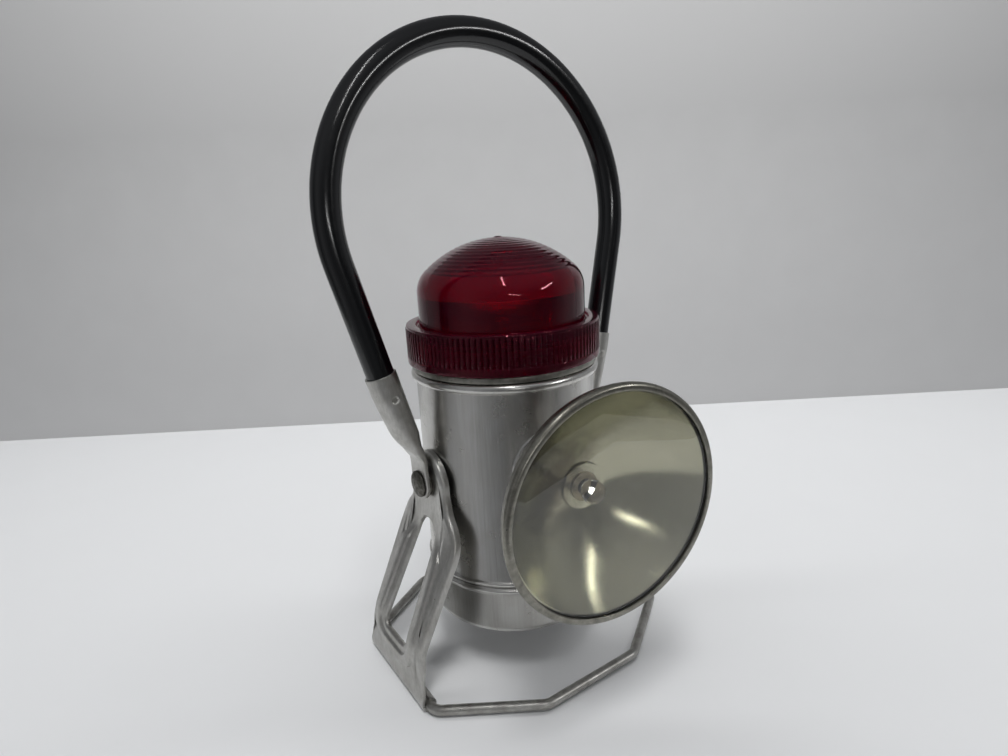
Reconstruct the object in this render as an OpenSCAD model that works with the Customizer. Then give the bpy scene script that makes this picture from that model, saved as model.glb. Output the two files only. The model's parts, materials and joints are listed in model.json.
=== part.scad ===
// Railroad hand lantern. A round case hangs between two pressed legs on a wire base.
// A screwed ruby dome lamp sits on top, a spotlight in front, and a bail swings over both.
// Millimetres. Z is up from the table, the case axis is Z and the spotlight looks along -Y.

/* [Case] */
// Outer radius of the case tube
case_radius = 46; // [45:0.5:52]
// Sheet thickness of the case tube and the bottom cup
case_wall = 0.9; // [0.6:0.1:1.2]
// Height of the case floor above the table
floor_height = 24; // [16:1:34]
// Height of the bottom cup from its floor to the joint with the tube
cup_height = 26.8; // [20:0.2:36]
// Length of the case tube above the joint
tube_length = 105.7; // [103:0.1:120]
// Radius of the rolled bead at the top of the tube
top_bead = 2.4; // [1.6:0.1:3]
// Radius of each of the two beads beside the cup joint
joint_bead = 1.3; // [0.8:0.1:1.6]
// Length of the swaged tube end inside the cup
cup_overlap = 6.5; // [4:0.5:9]
// Corner radius of the cup floor
cup_corner = 4; // [2:0.5:6]
// Height of the stiffening step pressed into the cup floor
floor_step = 1.2; // [0.6:0.1:2]

/* [Collar] */
// How far the collar flange stands out past the case tube
collar_proud = 1.6; // [0.8:0.1:2.4]
// Thickness of the collar flange
collar_height = 3.05; // [2:0.05:5]
// Height of the threaded neck above the flange
neck_height = 11.4; // [9:0.2:15]
// Wall of the threaded neck
neck_wall = 1.8; // [1.2:0.1:2.4]
// Depth of the collar spigot inside the tube
spigot_depth = 16.5; // [15:0.5:19]
// Wall of the collar spigot
spigot_wall = 1.2; // [0.8:0.1:1.6]
// Width of the ledge that carries the contact plate
ledge_width = 3; // [2:0.5:5]
// Thickness of that ledge
ledge_height = 1.4; // [1:0.1:2]

/* [Dome lamp] */
// Height of the knurled ring of the dome lens
ring_height = 19.1; // [17:0.1:24]
// How far the knurled ring stands out past the case tube
ring_proud = 3.5; // [2.9:0.1:5]
// Height of the plain band under the knurling
plain_band = 4; // [2:0.2:6]
// Height of the plain lip above the knurling
plain_lip = 1.4; // [0.8:0.1:3]
// Number of knurling ribs
knurl_count = 112; // [80:4:128]
// Depth of the knurling
knurl_depth = 0.9; // [0.5:0.1:1.2]
// How far the dome wall stands back from the case radius
dome_inset = 3.8; // [3:0.1:6]
// Wall of the dome lens
dome_wall = 2.6; // [2:0.1:3.4]
// Straight height of the dome above the ring
dome_straight = 14.8; // [8:0.2:24]
// Radius of the rounded shoulder of the dome
dome_shoulder = 15; // [10:0.5:20]
// Radius of the crown of the dome
dome_crown = 55; // [50:1:75]
// Number of light-spreading rings inside the dome
prism_count = 12; // [6:1:16]
// Height of each of those rings
prism_depth = 0.6; // [0.3:0.1:0.9]
// Thickness of the lens gasket
gasket_height = 1.7; // [1:0.1:2.4]
// Sheet thickness of the dish under the dome
dish_sheet = 0.6; // [0.4:0.1:0.9]
// Depth of that dish
dish_depth = 12.5; // [9:0.5:16]
// Outer radius of the dome lamp socket
dome_socket_radius = 8.15; // [7:0.05:10]

/* [Spotlight] */
// Height of the spotlight axis above the case floor
spot_rise = 89; // [80:1:92]
// Angle by which the spotlight is turned on the case, away from square to the legs
spot_turn = 7; // [0:0.5:10]
// Outer radius of the spotlight bezel
spot_radius = 52.3; // [46:0.1:58]
// How far the bezel front stands out from the case wall
spot_standoff = 50.9; // [48:0.1:60]
// Focal length of the reflector
spot_focus = 24; // [22:0.5:34]
// Width of the bezel lip over the lens
bezel_lip = 1; // [0.8:0.1:5]
// Sheet thickness of the bezel
bezel_sheet = 1; // [0.6:0.1:1.4]
// How far the front bead of the bezel stands out over its skirt
bezel_bead = 1.4; // [0.6:0.1:2]
// Radius of the hem rolled under the bowl's rim
bezel_hem = 0.6; // [0.4:0.1:1.2]
// Edge thickness of the clear lens
lens_edge = 1.6; // [1.2:0.1:3]
// Crown height of the clear lens
lens_crown = 0.8; // [0.4:0.1:1]
// Thickness of the gasket behind the clear lens
spot_gasket_height = 0.6; // [0.4:0.1:1.5]
// Thickness of the reflector along its axis
reflector_sheet = 0.7; // [0.5:0.1:1]
// Gap along the axis between the reflector and the housing bowl
bowl_gap = 0.8; // [0.7:0.1:3]
// Thickness of the housing bowl along its axis
bowl_sheet = 0.9; // [0.6:0.1:1.2]
// Radius of the lamp hole in the reflector
lamp_hole = 9.05; // [8:0.05:10]
// Wall of the spotlight neck around the socket
spot_neck_wall = 3; // [2:0.1:4]
// Radius of the saddle flange on the case
saddle_radius = 20; // [17:0.5:24]
// Thickness of the saddle flange
saddle_sheet = 1.4; // [0.9:0.1:2]

/* [Bulbs] */
// Radius of a bulb base
bulb_base_radius = 4.8; // [4:0.1:5.2]
// Radius of a bulb's glass
bulb_glass_radius = 5.3; // [4.2:0.1:6]

/* [Base frame] */
// Radius of the base wire
wire_radius = 2.4; // [1.8:0.1:3]
// Distance of the wire inside each hem from the case axis
hem_reach = 74.2; // [68:0.2:90]
// Half the length of each hem
hem_half = 31; // [30:0.5:38]
// Distance of the front and rear wire runs from the case axis
wire_depth = 65.4; // [58:0.2:80]
// Half the length of the straight front and rear wire runs
wire_front_half = 28.6; // [22:0.2:36]
// Bend radius of the wire corners, on its centre line
wire_bend = 8; // [5:0.5:12]
// Sheet thickness of the legs
leg_sheet = 1.2; // [0.9:0.1:1.6]
// Depth to which the hem is pressed flat where it stands
hem_flat = 0.4; // [0.2:0.05:0.6]
// Height of the upright skirt of each leg
skirt_height = 27; // [18:1:32]
// Distance from the pivot down to the bend under the ear
ear_drop = 26; // [8.5:0.5:30]
// Radius of the ear around the pivot
ear_radius = 15.5; // [11.5:0.5:17]
// Distance from the pivot down to the widest part of the shoulder
shoulder_drop = 31; // [20:0.5:36]
// Half the width of the leg at the shoulder
shoulder_half = 28; // [25:0.5:31]
// Corner radius of the shoulder
shoulder_round = 22; // [16:0.5:25]
// Radius of the hollow between ear and shoulder
neck_round = 18; // [8:0.5:22]
// Half the width of the leg at the skirt bend
foot_half = 26.5; // [24.5:0.5:30]
// Depth of the flange around the outer edge of the leg
leg_flange = 4.5; // [3:0.5:6]
// Depth of the flange around the window
window_flange = 2.5; // [1.8:0.1:3.5]
// Radius of the arch at the top of the window
window_arch = 9; // [5:0.5:11]
// Distance from the pivot down to the top of the window
window_drop = 18; // [16:0.5:24]
// Half the width of the window at its foot
window_half = 12; // [8:0.5:13]
// Height of the foot of the window
window_foot = 24.5; // [19:0.5:30]
// Corner radius at the foot of the window
window_corner = 4; // [2.5:0.5:5]
// Height of the band pressed out of each leg
rib_height = 0.8; // [0.4:0.1:1.2]
// Width of that band
rib_width = 6; // [4.5:0.5:8]
// Distance of that band from the window
rib_inset = 4; // [3:0.5:5]

/* [Pivot] */
// Height of the bail pivot above the case floor
pivot_rise = 78.7; // [72:0.1:86]
// Radius of the rivet shank
rivet_radius = 3.2; // [2.5:0.1:4]
// Radius of the rivet head
rivet_head = 6.75; // [5.5:0.05:8]
// Height of the domed rivet head
rivet_dome = 2.6; // [1.6:0.1:3.5]
// Space between the case and the ear at the pivot
ear_gap = 3.4; // [2.4:0.1:5]
// Thickness of the pivot washers
washer_sheet = 1.35; // [0.8:0.05:2]
// Radius of the spacer behind each ear
spacer_radius = 7; // [5.5:0.5:9]

/* [Bail] */
// Radius of the bail arc, on the tube's centre line
bail_radius = 82.5; // [74:0.1:88]
// Height of the arc's centre above the pivot
bail_rise = 128.6; // [120:0.1:150]
// Outer radius of the handle tube
handle_radius = 6.65; // [5.5:0.05:8]
// Angle by which the bail leans back at rest
bail_lean = 3.2; // [0:0.1:8]
// Wall of the ferrules around the handle tube
ferrule_wall = 0.85; // [0.6:0.05:1.4]
// Length of the ferrules from the pivot
ferrule_length = 60; // [52:1:70]
// Length of the handle tube held in each ferrule
ferrule_grip = 18; // [12:1:22]
// Thickness of the flattened ferrule end
tab_sheet = 2.2; // [1.6:0.1:2.8]
// Radius of the rounded ferrule end
tab_radius = 8; // [7:0.1:9.5]

/* [Battery] */
// Width of the square lantern battery
battery_width = 66; // [60:0.5:67]
// Height of the battery's case
battery_height = 102; // [94:1:106]
// Corner radius of the battery
battery_corner = 12; // [10:0.5:16]
// Least gap between the battery's corners and the case
battery_gap = 0.6; // [0.4:0.1:1.5]
// Radius of the contact spring wire
spring_wire = 0.6; // [0.4:0.1:0.8]
// Number of turns of each contact spring
spring_turns = 4; // [3:1:5]
// Radius of a contact spring at its foot
spring_foot = 7; // [6:0.5:9]
// Radius of a contact spring at its tip
spring_tip = 4.4; // [3.4:0.2:5]
// Distance of the outer spring from each side of the battery's middle
spring_offset = 20; // [16:0.5:22]
// Thickness of the insulating contact plate
plate_height = 2.5; // [1.6:0.1:3.2]

/* [Switch] */
// Radius of the threaded switch bushing
bushing_radius = 6; // [5:0.1:6.5]
// Length of the bushing outside the case
bushing_length = 8.2; // [7.4:0.2:11]
// Radius of the lever's ball
lever_ball = 4; // [3.4:0.1:4.4]
// Length of the lever beyond its ball's centre
lever_length = 17; // [12:0.5:22]
// Radius of the lever's tip
lever_tip = 2.5; // [2:0.1:3.2]
// Width of the switch body
switch_width = 13; // [10:0.5:16]
// Height of the switch body
switch_height = 11; // [9:0.5:11.5]
// Depth of the switch body
switch_depth = 9.5; // [7:0.5:9.5]

/* [Clearances] */
// Gap between pieces that are seated on each other
seat_gap = 0.05; // [0.02:0.01:0.08]
// Gap between pieces that move past each other
run_gap = 0.3; // [0.25:0.05:0.4]

/* [Hidden] */
$fn = 96;

// Heights of the case, from the table up
joint_z = floor_height + cup_height;
tube_top = joint_z + tube_length;
case_bore = case_radius - case_wall;
pivot_z = floor_height + pivot_rise;
flange_top = tube_top + seat_gap + collar_height;
neck_top = flange_top + neck_height;
spigot_foot = tube_top - spigot_depth;
spigot_radius = case_bore - seat_gap;
spigot_bore = spigot_radius - spigot_wall;
neck_bore = case_radius - neck_wall;
plate_foot = spigot_foot + ledge_height + seat_gap;
plate_top = plate_foot + plate_height;
button_sheet = 0.6;
button_radius = 6;
button_shank = 1.5;
button_head = 3;

// Battery and its springs
battery_foot = floor_height + case_wall + floor_step + seat_gap;
battery_top = battery_foot + battery_height;
battery_least_corner = (battery_width / sqrt(2) - case_bore + battery_gap) / (sqrt(2) - 1);
battery_round = max(battery_corner, battery_least_corner);
spring_seat = plate_foot - button_sheet - seat_gap;
spring_places = [[0, 0], [spring_offset, spring_offset]];
spring_steps = 12;
spring_sides = 6;

// Dome lamp
lens_foot = flange_top + run_gap;
lens_rim = lens_foot + ring_height;
lens_bore = case_radius + run_gap;
ring_radius = case_radius + ring_proud;
dish_rim = neck_top + seat_gap + dish_sheet;
gasket_foot = dish_rim + seat_gap;
gasket_top = gasket_foot + gasket_height;
lens_seat = gasket_top + seat_gap;
dome_radius = case_radius - dome_inset;
shoulder_z = lens_rim + dome_straight;
shoulder_y = dome_radius - dome_shoulder;
crown_reach = dome_crown - dome_shoulder;
crown_angle = acos(shoulder_y / crown_reach);
crown_z = shoulder_z - crown_reach * sin(crown_angle);
dish_radius = neck_bore - 2;
dish_floor = dish_rim - dish_depth;
socket_flange = 2.4;
dome_socket_foot = plate_top + button_sheet + 2 * seat_gap + 1.2;

// Spotlight, as distances from the case axis towards the front
spot_z = floor_height + spot_rise;
bezel_front = case_radius + spot_standoff;
lens_front = bezel_front - bezel_sheet - seat_gap;
lens_back = lens_front - lens_edge;
spot_gasket_back = lens_back - seat_gap - spot_gasket_height;
reflector_rim = spot_gasket_back - seat_gap;
bezel_inner = spot_radius - bezel_bead - bezel_sheet;
spot_inner = bezel_inner - seat_gap;
lip_radius = bezel_inner - bezel_lip;
mirror_radius = lip_radius - 0.8;
mirror_foot = reflector_rim - mirror_radius * mirror_radius / (4 * spot_focus);
function mirror_at(r) = mirror_foot + r * r / (4 * spot_focus);
socket_radius = lamp_hole - 0.1;
socket_lip = socket_radius + 1.4;
socket_front = mirror_at(socket_lip) + seat_gap;
socket_sheet = 0.8;
socket_length = 12;
socket_back = mirror_at(lamp_hole) - socket_length;
neck_radius = lamp_hole + spot_neck_wall;
bowl_seat = 2;
bowl_foot_radius = neck_radius + bowl_seat;
bowl_depth = reflector_sheet + bowl_gap + bowl_sheet;
bowl_back = mirror_at(bowl_foot_radius) - bowl_depth;
bowl_rim = mirror_radius + 0.4;
bowl_rim_back = mirror_at(bowl_rim) - bowl_depth;
bezel_back = bowl_rim_back - seat_gap - bezel_hem;
insulator_height = 2;
neck_front = mirror_at(lamp_hole) - reflector_sheet - run_gap;
thread_radius = neck_radius - 2;
thread_reach = 7;
thread_end = case_bore - thread_reach;

// Pivot, as distances from the case axis towards each side
ear_in = case_radius + ear_gap;
ear_out = ear_in + leg_sheet;
washer_out = ear_out + seat_gap + washer_sheet;
tab_in = washer_out + run_gap;
tab_out = tab_in + tab_sheet;
head_in = tab_out + run_gap;
pin_hole = rivet_radius + seat_gap;
inner_head = 5.5;
inner_head_out = sqrt(pow(case_bore, 2) - pow(inner_head, 2)) - seat_gap;
inner_head_in = inner_head_out - 1.3;

// Base frame
hem_bore = wire_radius + seat_gap;
hem_radius = hem_bore + leg_sheet;
wire_z = hem_radius - hem_flat;
skirt_out = hem_reach + hem_radius;
ear_foot = pivot_z - ear_drop;
shoulder_height = pivot_z - shoulder_drop;
hem_rise = 8;

// Bail, in its own upright plane with the pivot at the origin
tab_middle = (tab_in + tab_out) / 2;
bail_hypotenuse = norm([tab_middle, bail_rise]);
bail_splay = asin(bail_radius / bail_hypotenuse) - atan2(tab_middle, bail_rise);
ferrule_radius = handle_radius + seat_gap + ferrule_wall;
handle_start = ferrule_length - ferrule_grip;
tab_top = 15;
socket_root = 12;
round_start = handle_start - socket_root;

// Switch, above the battery on the rear wall
switch_z = spigot_foot - bushing_radius - 0.5;
switch_front = sqrt(pow(case_bore, 2) - pow(switch_width / 2, 2)) - seat_gap;
bushing_end = case_radius + bushing_length;
bushing_bore = lever_ball + run_gap;
bushing_mouth = 3.2;
bushing_lip = 1.2;
lever_y = bushing_end - bushing_lip - 3;
lever_stem = 1.6;

aluminium = "silver";
steel = "dimgray";
brass = "goldenrod";

// Points of an arc about [x, y], from angle a to angle b
function arc(x, y, r, a, b, steps = 8) =
    [for (i = [0:steps]) let (t = a + (b - a) * i / steps) [x + r * cos(t), y + r * sin(t)]];

// A flat ring or tube along Z
module tube(outer, inner, foot, top) {
    translate([0, 0, foot])
        difference() {
            cylinder(r = outer, h = top - foot);
            translate([0, 0, -1])
                cylinder(r = inner, h = top - foot + 2);
        }
}

// Turns a shape drawn along +Z to point along +X through the pivot
module on_pivot() {
    translate([0, 0, pivot_z])
        rotate([0, 90, 0])
            children();
}

// Turns a shape drawn along +Z to point forwards along the spotlight's axis
module on_spot_axis() {
    translate([0, 0, spot_z])
        rotate([90, 0, -spot_turn])
            children();
}

// Turns a shape drawn along +Z to point backwards through the switch
module on_switch_axis() {
    translate([0, 0, switch_z])
        rotate([-90, 0, 0])
            children();
}

module both_sides() {
    children();
    mirror([1, 0, 0])
        children();
}

// Wall of a sheet tube with beads pressed outwards, as a profile; each bead is [height, radius]
module beaded_wall(outer, sheet, foot, top, beads) {
    difference() {
        union() {
            translate([outer - sheet, foot])
                square([sheet, top - foot]);
            for (bead = beads)
                intersection() {
                    translate([outer, bead[0]])
                        circle(r = bead[1]);
                    translate([outer - sheet, foot])
                        square([sheet + bead[1], top - foot]);
                }
        }
        for (bead = beads)
            translate([outer - sheet, bead[0]])
                circle(r = bead[1]);
    }
}

// Round bar along a line of points that bends to the left as seen against the normal
module swept_bar(line, normal, r, sides, closed = false) {
    n = len(line);
    spans = closed ? n : n - 1;
    points = [
        for (i = [0:n - 1])
            let (
                ahead = closed ? line[(i + 1) % n] : line[min(i + 1, n - 1)],
                behind = closed ? line[(i + n - 1) % n] : line[max(i - 1, 0)],
                side = cross(ahead - behind, normal),
                out = side / norm(side)
            )
                for (k = [0:sides - 1])
                    let (a = 360 * k / sides) line[i] + r * (cos(a) * out + sin(a) * normal)
    ];
    walls = [
        for (i = [0:spans - 1], k = [0:sides - 1])
            let (
                a = i * sides + k,
                b = i * sides + (k + 1) % sides,
                c = (i + 1) % n * sides + (k + 1) % sides,
                d = (i + 1) % n * sides + k
            ) each [[a, b, c], [a, c, d]]
    ];
    last = (n - 1) * sides;
    caps = closed ? [] : [
        for (k = [1:sides - 2]) each [[0, k + 1, k], [last, last + k, last + k + 1]]
    ];
    polyhedron(points = points, faces = concat(walls, caps));
}

// Base frame

// Distance from a hem's end to the wire's corner, so that the bend starts outside the hem
function hem_turn(lead) = atan2(hem_reach - wire_front_half, wire_depth - hem_half - lead);
function bend_lead(lead) = wire_bend * tan(hem_turn(lead) / 2);
wire_side_half = hem_half + bend_lead(bend_lead(bend_lead(0))) + run_gap;

// Corners of the wire loop, counter-clockwise from the right hem's front end
wire_corners = [
    [hem_reach, -wire_side_half], [hem_reach, wire_side_half],
    [wire_front_half, wire_depth], [-wire_front_half, wire_depth],
    [-hem_reach, wire_side_half], [-hem_reach, -wire_side_half],
    [-wire_front_half, -wire_depth], [wire_front_half, -wire_depth]
];
wire_sides = 12;
wire_steps = 5;
function heading(a, b) = atan2(b[1] - a[1], b[0] - a[0]);

// Points of one rounded corner of the wire
function wire_corner(i) =
    let (
        n = len(wire_corners),
        before = wire_corners[(i + n - 1) % n],
        here = wire_corners[i],
        after = wire_corners[(i + 1) % n],
        way = (here - before) / norm(here - before),
        start = heading(before, here),
        turn = (heading(here, after) - start + 360) % 360,
        middle = here - wire_bend * tan(turn / 2) * way + wire_bend * [-way[1], way[0]]
    ) arc(middle[0], middle[1], wire_bend, start - 90, start - 90 + turn, wire_steps);

module base_wire() {
    color(aluminium)
        swept_bar(
            [for (i = [0:len(wire_corners) - 1], p = wire_corner(i)) [p[0], p[1], wire_z]],
            [0, 0, 1], wire_radius, wire_sides, closed = true
        );
}

// Side profile of a leg: ear upright, panel sloping out, skirt upright down to the hem,
// where a flange that goes inward runs out to nothing
module leg_strip(inward, outward) {
    line = [
        [ear_out, pivot_z + ear_radius + 1], [ear_out, ear_foot],
        [skirt_out, skirt_height], [skirt_out, wire_z]
    ];
    rotate([90, 0, 0])
        linear_extrude(height = 2 * hem_half, center = true)
            polygon(concat(
                [for (p = line) p + [outward, 0]],
                [line[3] - [leg_sheet, 0]],
                [for (i = [2:-1:0]) line[i] - [leg_sheet + inward, 0]]
            ));
}

// Outline of a leg seen from the side, with tangent arcs from ear to shoulder
module leg_outline() {
    round_middle = [shoulder_half - shoulder_round, shoulder_height];
    span = round_middle - [0, pivot_z];
    near = ear_radius + neck_round;
    far = shoulder_round + neck_round;
    along = (near * near - far * far + span * span) / (2 * norm(span));
    aside = sqrt(near * near - along * along);
    unit = span / norm(span);
    hollow = [0, pivot_z] + along * unit + aside * [-unit[1], unit[0]];
    ear_angle = atan2(hollow[1] - pivot_z, hollow[0]);
    shoulder_angle = atan2(hollow[1] - round_middle[1], hollow[0] - round_middle[0]);
    half = concat(
        [[hem_half, 0], [hem_half, hem_rise], [foot_half, skirt_height]],
        arc(round_middle[0], round_middle[1], shoulder_round, 0, shoulder_angle),
        arc(hollow[0], hollow[1], neck_round, shoulder_angle + 180, ear_angle + 180),
        arc(0, pivot_z, ear_radius, ear_angle, 90, 10)
    );
    polygon(concat(half, [for (i = [len(half) - 1:-1:0]) [-half[i][0], half[i][1]]]));
}

module leg_window() {
    hull() {
        translate([0, pivot_z - window_drop - window_arch])
            circle(r = window_arch, $fn = 32);
        for (side = [-1, 1])
            translate([side * (window_half - window_corner), window_foot + window_corner])
                circle(r = window_corner, $fn = 32);
    }
}

// Band pressed out around the window, open above the arch
module leg_rib() {
    intersection() {
        difference() {
            offset(delta = rib_inset + rib_width)
                leg_window();
            offset(delta = rib_inset)
                leg_window();
        }
        translate([-hem_half, wire_z])
            square([2 * hem_half, shoulder_height - wire_z]);
    }
}

// Lifts a shape drawn in the side view into a block across the leg
module across_leg() {
    rotate([90, 0, 90])
        linear_extrude(height = skirt_out + 2 * rib_height)
            children();
}

module leg() {
    difference() {
        union() {
            intersection() {
                leg_strip(0, 0);
                across_leg()
                    difference() {
                        leg_outline();
                        leg_window();
                    }
            }
            intersection() {
                leg_strip(leg_flange - leg_sheet, 0);
                across_leg()
                    difference() {
                        leg_outline();
                        offset(delta = -leg_sheet)
                            leg_outline();
                        translate([-hem_half + leg_sheet, -1])
                            square([2 * (hem_half - leg_sheet), hem_rise]);
                    }
            }
            intersection() {
                leg_strip(window_flange - leg_sheet, 0);
                across_leg()
                    difference() {
                        offset(delta = leg_sheet)
                            leg_window();
                        leg_window();
                    }
            }
            intersection() {
                leg_strip(0, rib_height);
                across_leg()
                    leg_rib();
            }
            translate([hem_reach, hem_half, wire_z])
                rotate([90, 0, 0])
                    cylinder(r = hem_radius, h = 2 * hem_half);
        }
        translate([hem_reach, hem_half + 1, wire_z])
            rotate([90, 0, 0])
                cylinder(r = hem_bore, h = 2 * hem_half + 2);
        translate([0, 0, -hem_radius])
            cube([2 * hem_reach, 4 * hem_half, 2 * hem_radius], center = true);
        translate([hem_reach, 0, -hem_radius])
            cube([4 * hem_radius, 4 * hem_half, 2 * hem_radius], center = true);
        cylinder(r = case_radius + run_gap, h = tube_top);
        on_pivot()
            cylinder(r = pin_hole, h = 2 * case_radius);
    }
}

module left_leg() {
    color("darkgray")
        mirror([1, 0, 0])
            leg();
}

module right_leg() {
    color("darkgray")
        leg();
}

// Pivot

module pivot_spacers() {
    color(aluminium)
        both_sides()
            difference() {
                on_pivot()
                    tube(spacer_radius, pin_hole, case_radius / 2, ear_in - seat_gap);
                translate([0, 0, floor_height])
                    cylinder(r = case_radius + seat_gap, h = tube_top);
            }
}

module pivot_washers() {
    color(steel)
        both_sides()
            on_pivot()
                tube(rivet_head, pin_hole, ear_out + seat_gap, washer_out);
}

// A low round dome standing on z = 0
module dome_head(r, h) {
    ball = (r * r + h * h) / (2 * h);
    intersection() {
        translate([0, 0, h - ball])
            sphere(r = ball);
        cylinder(r = r, h = h);
    }
}

module pivot_rivets() {
    edge = 0.8;
    color(steel)
        both_sides()
            on_pivot() {
                translate([0, 0, inner_head_in])
                    cylinder(r = inner_head, h = inner_head_out - inner_head_in);
                translate([0, 0, inner_head_in])
                    cylinder(r = rivet_radius, h = head_in - inner_head_in + edge);
                translate([0, 0, head_in])
                    cylinder(r = rivet_head, h = edge);
                translate([0, 0, head_in + edge])
                    dome_head(rivet_head, rivet_dome - edge);
            }
}

// Case

module case_tube() {
    color(aluminium)
        difference() {
            rotate_extrude() {
                beaded_wall(case_radius, case_wall, joint_z, tube_top,
                    [[joint_z + case_wall + joint_bead, joint_bead], [tube_top - top_bead, top_bead]]);
                translate([case_bore - seat_gap - case_wall, joint_z])
                    square([2 * case_wall + seat_gap, case_wall]);
                translate([case_bore - seat_gap - case_wall, joint_z - cup_overlap])
                    square([case_wall, cup_overlap + case_wall]);
            }
            both_sides()
                on_pivot()
                    cylinder(r = pin_hole, h = 2 * case_radius);
            on_spot_axis()
                cylinder(r = thread_radius + seat_gap, h = 2 * case_radius);
            on_switch_axis()
                cylinder(r = bushing_radius + seat_gap, h = 2 * case_radius);
        }
}

module bottom_cup() {
    wall_top = joint_z - seat_gap;
    step_radius = case_radius - 2 * cup_corner;
    color(aluminium)
        rotate_extrude() {
            beaded_wall(case_radius, case_wall, floor_height + cup_corner, wall_top,
                [[wall_top - joint_bead - 0.3, joint_bead]]);
            difference() {
                translate([case_radius - cup_corner, floor_height + cup_corner])
                    circle(r = cup_corner);
                translate([case_radius - cup_corner, floor_height + cup_corner])
                    circle(r = cup_corner - case_wall);
                translate([0, floor_height + cup_corner])
                    square([2 * case_radius, 2 * cup_corner]);
                translate([case_radius - 3 * cup_corner, floor_height])
                    square([2 * cup_corner, 2 * cup_corner]);
            }
            polygon([
                [case_radius - cup_corner, floor_height],
                [case_radius - cup_corner, floor_height + case_wall],
                [step_radius, floor_height + case_wall],
                [step_radius - floor_step, floor_height + case_wall + floor_step],
                [0, floor_height + case_wall + floor_step],
                [0, floor_height + floor_step],
                [step_radius - floor_step, floor_height + floor_step],
                [step_radius, floor_height]
            ]);
        }
}

module neck_collar() {
    color("gray")
        rotate_extrude()
            polygon([
                [spigot_radius - ledge_width, spigot_foot],
                [spigot_radius, spigot_foot],
                [spigot_radius, tube_top + seat_gap],
                [case_radius + collar_proud - 0.6, tube_top + seat_gap],
                [case_radius + collar_proud, tube_top + seat_gap + 0.6],
                [case_radius + collar_proud, flange_top - 0.6],
                [case_radius + collar_proud - 0.6, flange_top],
                [case_radius, flange_top],
                [case_radius, neck_top - 0.6],
                [case_radius - 0.6, neck_top],
                [neck_bore, neck_top],
                [neck_bore, tube_top],
                [spigot_bore, tube_top - 2],
                [spigot_bore, spigot_foot + ledge_height],
                [spigot_radius - ledge_width, spigot_foot + ledge_height]
            ]);
}

// Battery and contacts

module battery() {
    side = battery_width - 2 * battery_round;
    color("steelblue")
        translate([0, 0, battery_foot])
            linear_extrude(height = battery_height) {
                square([battery_width, side], center = true);
                square([side, battery_width], center = true);
                for (x = [-1, 1], y = [-1, 1])
                    translate([x * side / 2, y * side / 2])
                        circle(r = battery_round);
            }
}

// Centre line of a conical coil, from its foot to its tip
function coil_point(t) =
    let (
        r = spring_foot + (spring_tip - spring_foot) * t,
        foot = battery_top + spring_wire + seat_gap,
        rise = spring_seat - spring_wire - seat_gap - foot,
        a = 360 * spring_turns * t
    ) [r * cos(a), r * sin(a), foot + rise * t];
spring_rings = spring_turns * spring_steps;
coil_line = [for (i = [0:spring_rings]) coil_point(i / spring_rings)];
coil_gap = min([
    for (i = [0:spring_rings], j = [i + spring_steps / 2:1:spring_rings]) norm(coil_line[i] - coil_line[j])
]) - 2 * spring_wire;
echo(least_gap_between_spring_turns = coil_gap);

module battery_springs() {
    color(aluminium)
        for (place = spring_places)
            translate([place[0], place[1], 0])
                swept_bar(coil_line, [0, 0, 1], spring_wire, spring_sides);
}

module contact_plate() {
    color("saddlebrown")
        difference() {
            translate([0, 0, plate_foot])
                cylinder(r = spigot_bore - seat_gap, h = plate_height);
            for (place = spring_places)
                translate([place[0], place[1], plate_foot - 1])
                    cylinder(r = button_shank + seat_gap, h = plate_height + 2);
        }
}

module battery_contacts() {
    color(brass)
        for (place = spring_places)
            translate([place[0], place[1], 0]) {
                translate([0, 0, spring_seat])
                    cylinder(r = button_radius, h = button_sheet);
                translate([0, 0, spring_seat])
                    cylinder(r = button_shank, h = plate_top + 2 * seat_gap + button_sheet - spring_seat);
                translate([0, 0, plate_top + seat_gap])
                    cylinder(r = button_head, h = button_sheet);
            }
}

// Brass strip from the middle contact to the foot of the dome socket
module dome_contact_strip() {
    foot = plate_top + 2 * seat_gap + button_sheet;
    strip_width = 7;
    strip_length = 34;
    strip_sheet = dome_socket_foot - seat_gap - foot;
    color(brass)
        translate([0, 0, foot])
            linear_extrude(height = strip_sheet) {
                circle(r = strip_width / 2);
                translate([-strip_width / 2, -strip_length])
                    square([strip_width, strip_length]);
            }
}

// Dome lamp

module dome_reflector() {
    floor_radius = dome_socket_radius + 4;
    inner = concat(
        [[dome_socket_radius + seat_gap, dish_floor], [floor_radius, dish_floor]],
        [for (i = [1:10]) let (t = i / 10)
            [floor_radius + (dish_radius - floor_radius) * t, dish_floor + dish_depth * t * t]],
        [[case_radius - 0.3, dish_rim]]
    );
    color("whitesmoke")
        rotate_extrude()
            polygon(concat(inner,
                [for (i = [len(inner) - 1:-1:0]) inner[i] - [0, dish_sheet]]));
}

module dome_socket() {
    flange_foot = dish_floor + seat_gap;
    color(brass)
        difference() {
            union() {
                translate([0, 0, dome_socket_foot])
                    cylinder(r = dome_socket_radius, h = flange_foot + socket_sheet - dome_socket_foot);
                translate([0, 0, flange_foot])
                    cylinder(r = dome_socket_radius + socket_flange, h = socket_sheet);
            }
            translate([0, 0, dome_socket_foot + 1.5])
                cylinder(r = bulb_base_radius + seat_gap, h = dish_floor);
        }
}

// Bulb base and glass, seated with the base's flange on z = 0
bulb_base_length = 8;
bulb_flange = 0.7;
bulb_flange_proud = 1.8;
bulb_neck = 3.6;
bulb_rise = 6;

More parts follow.
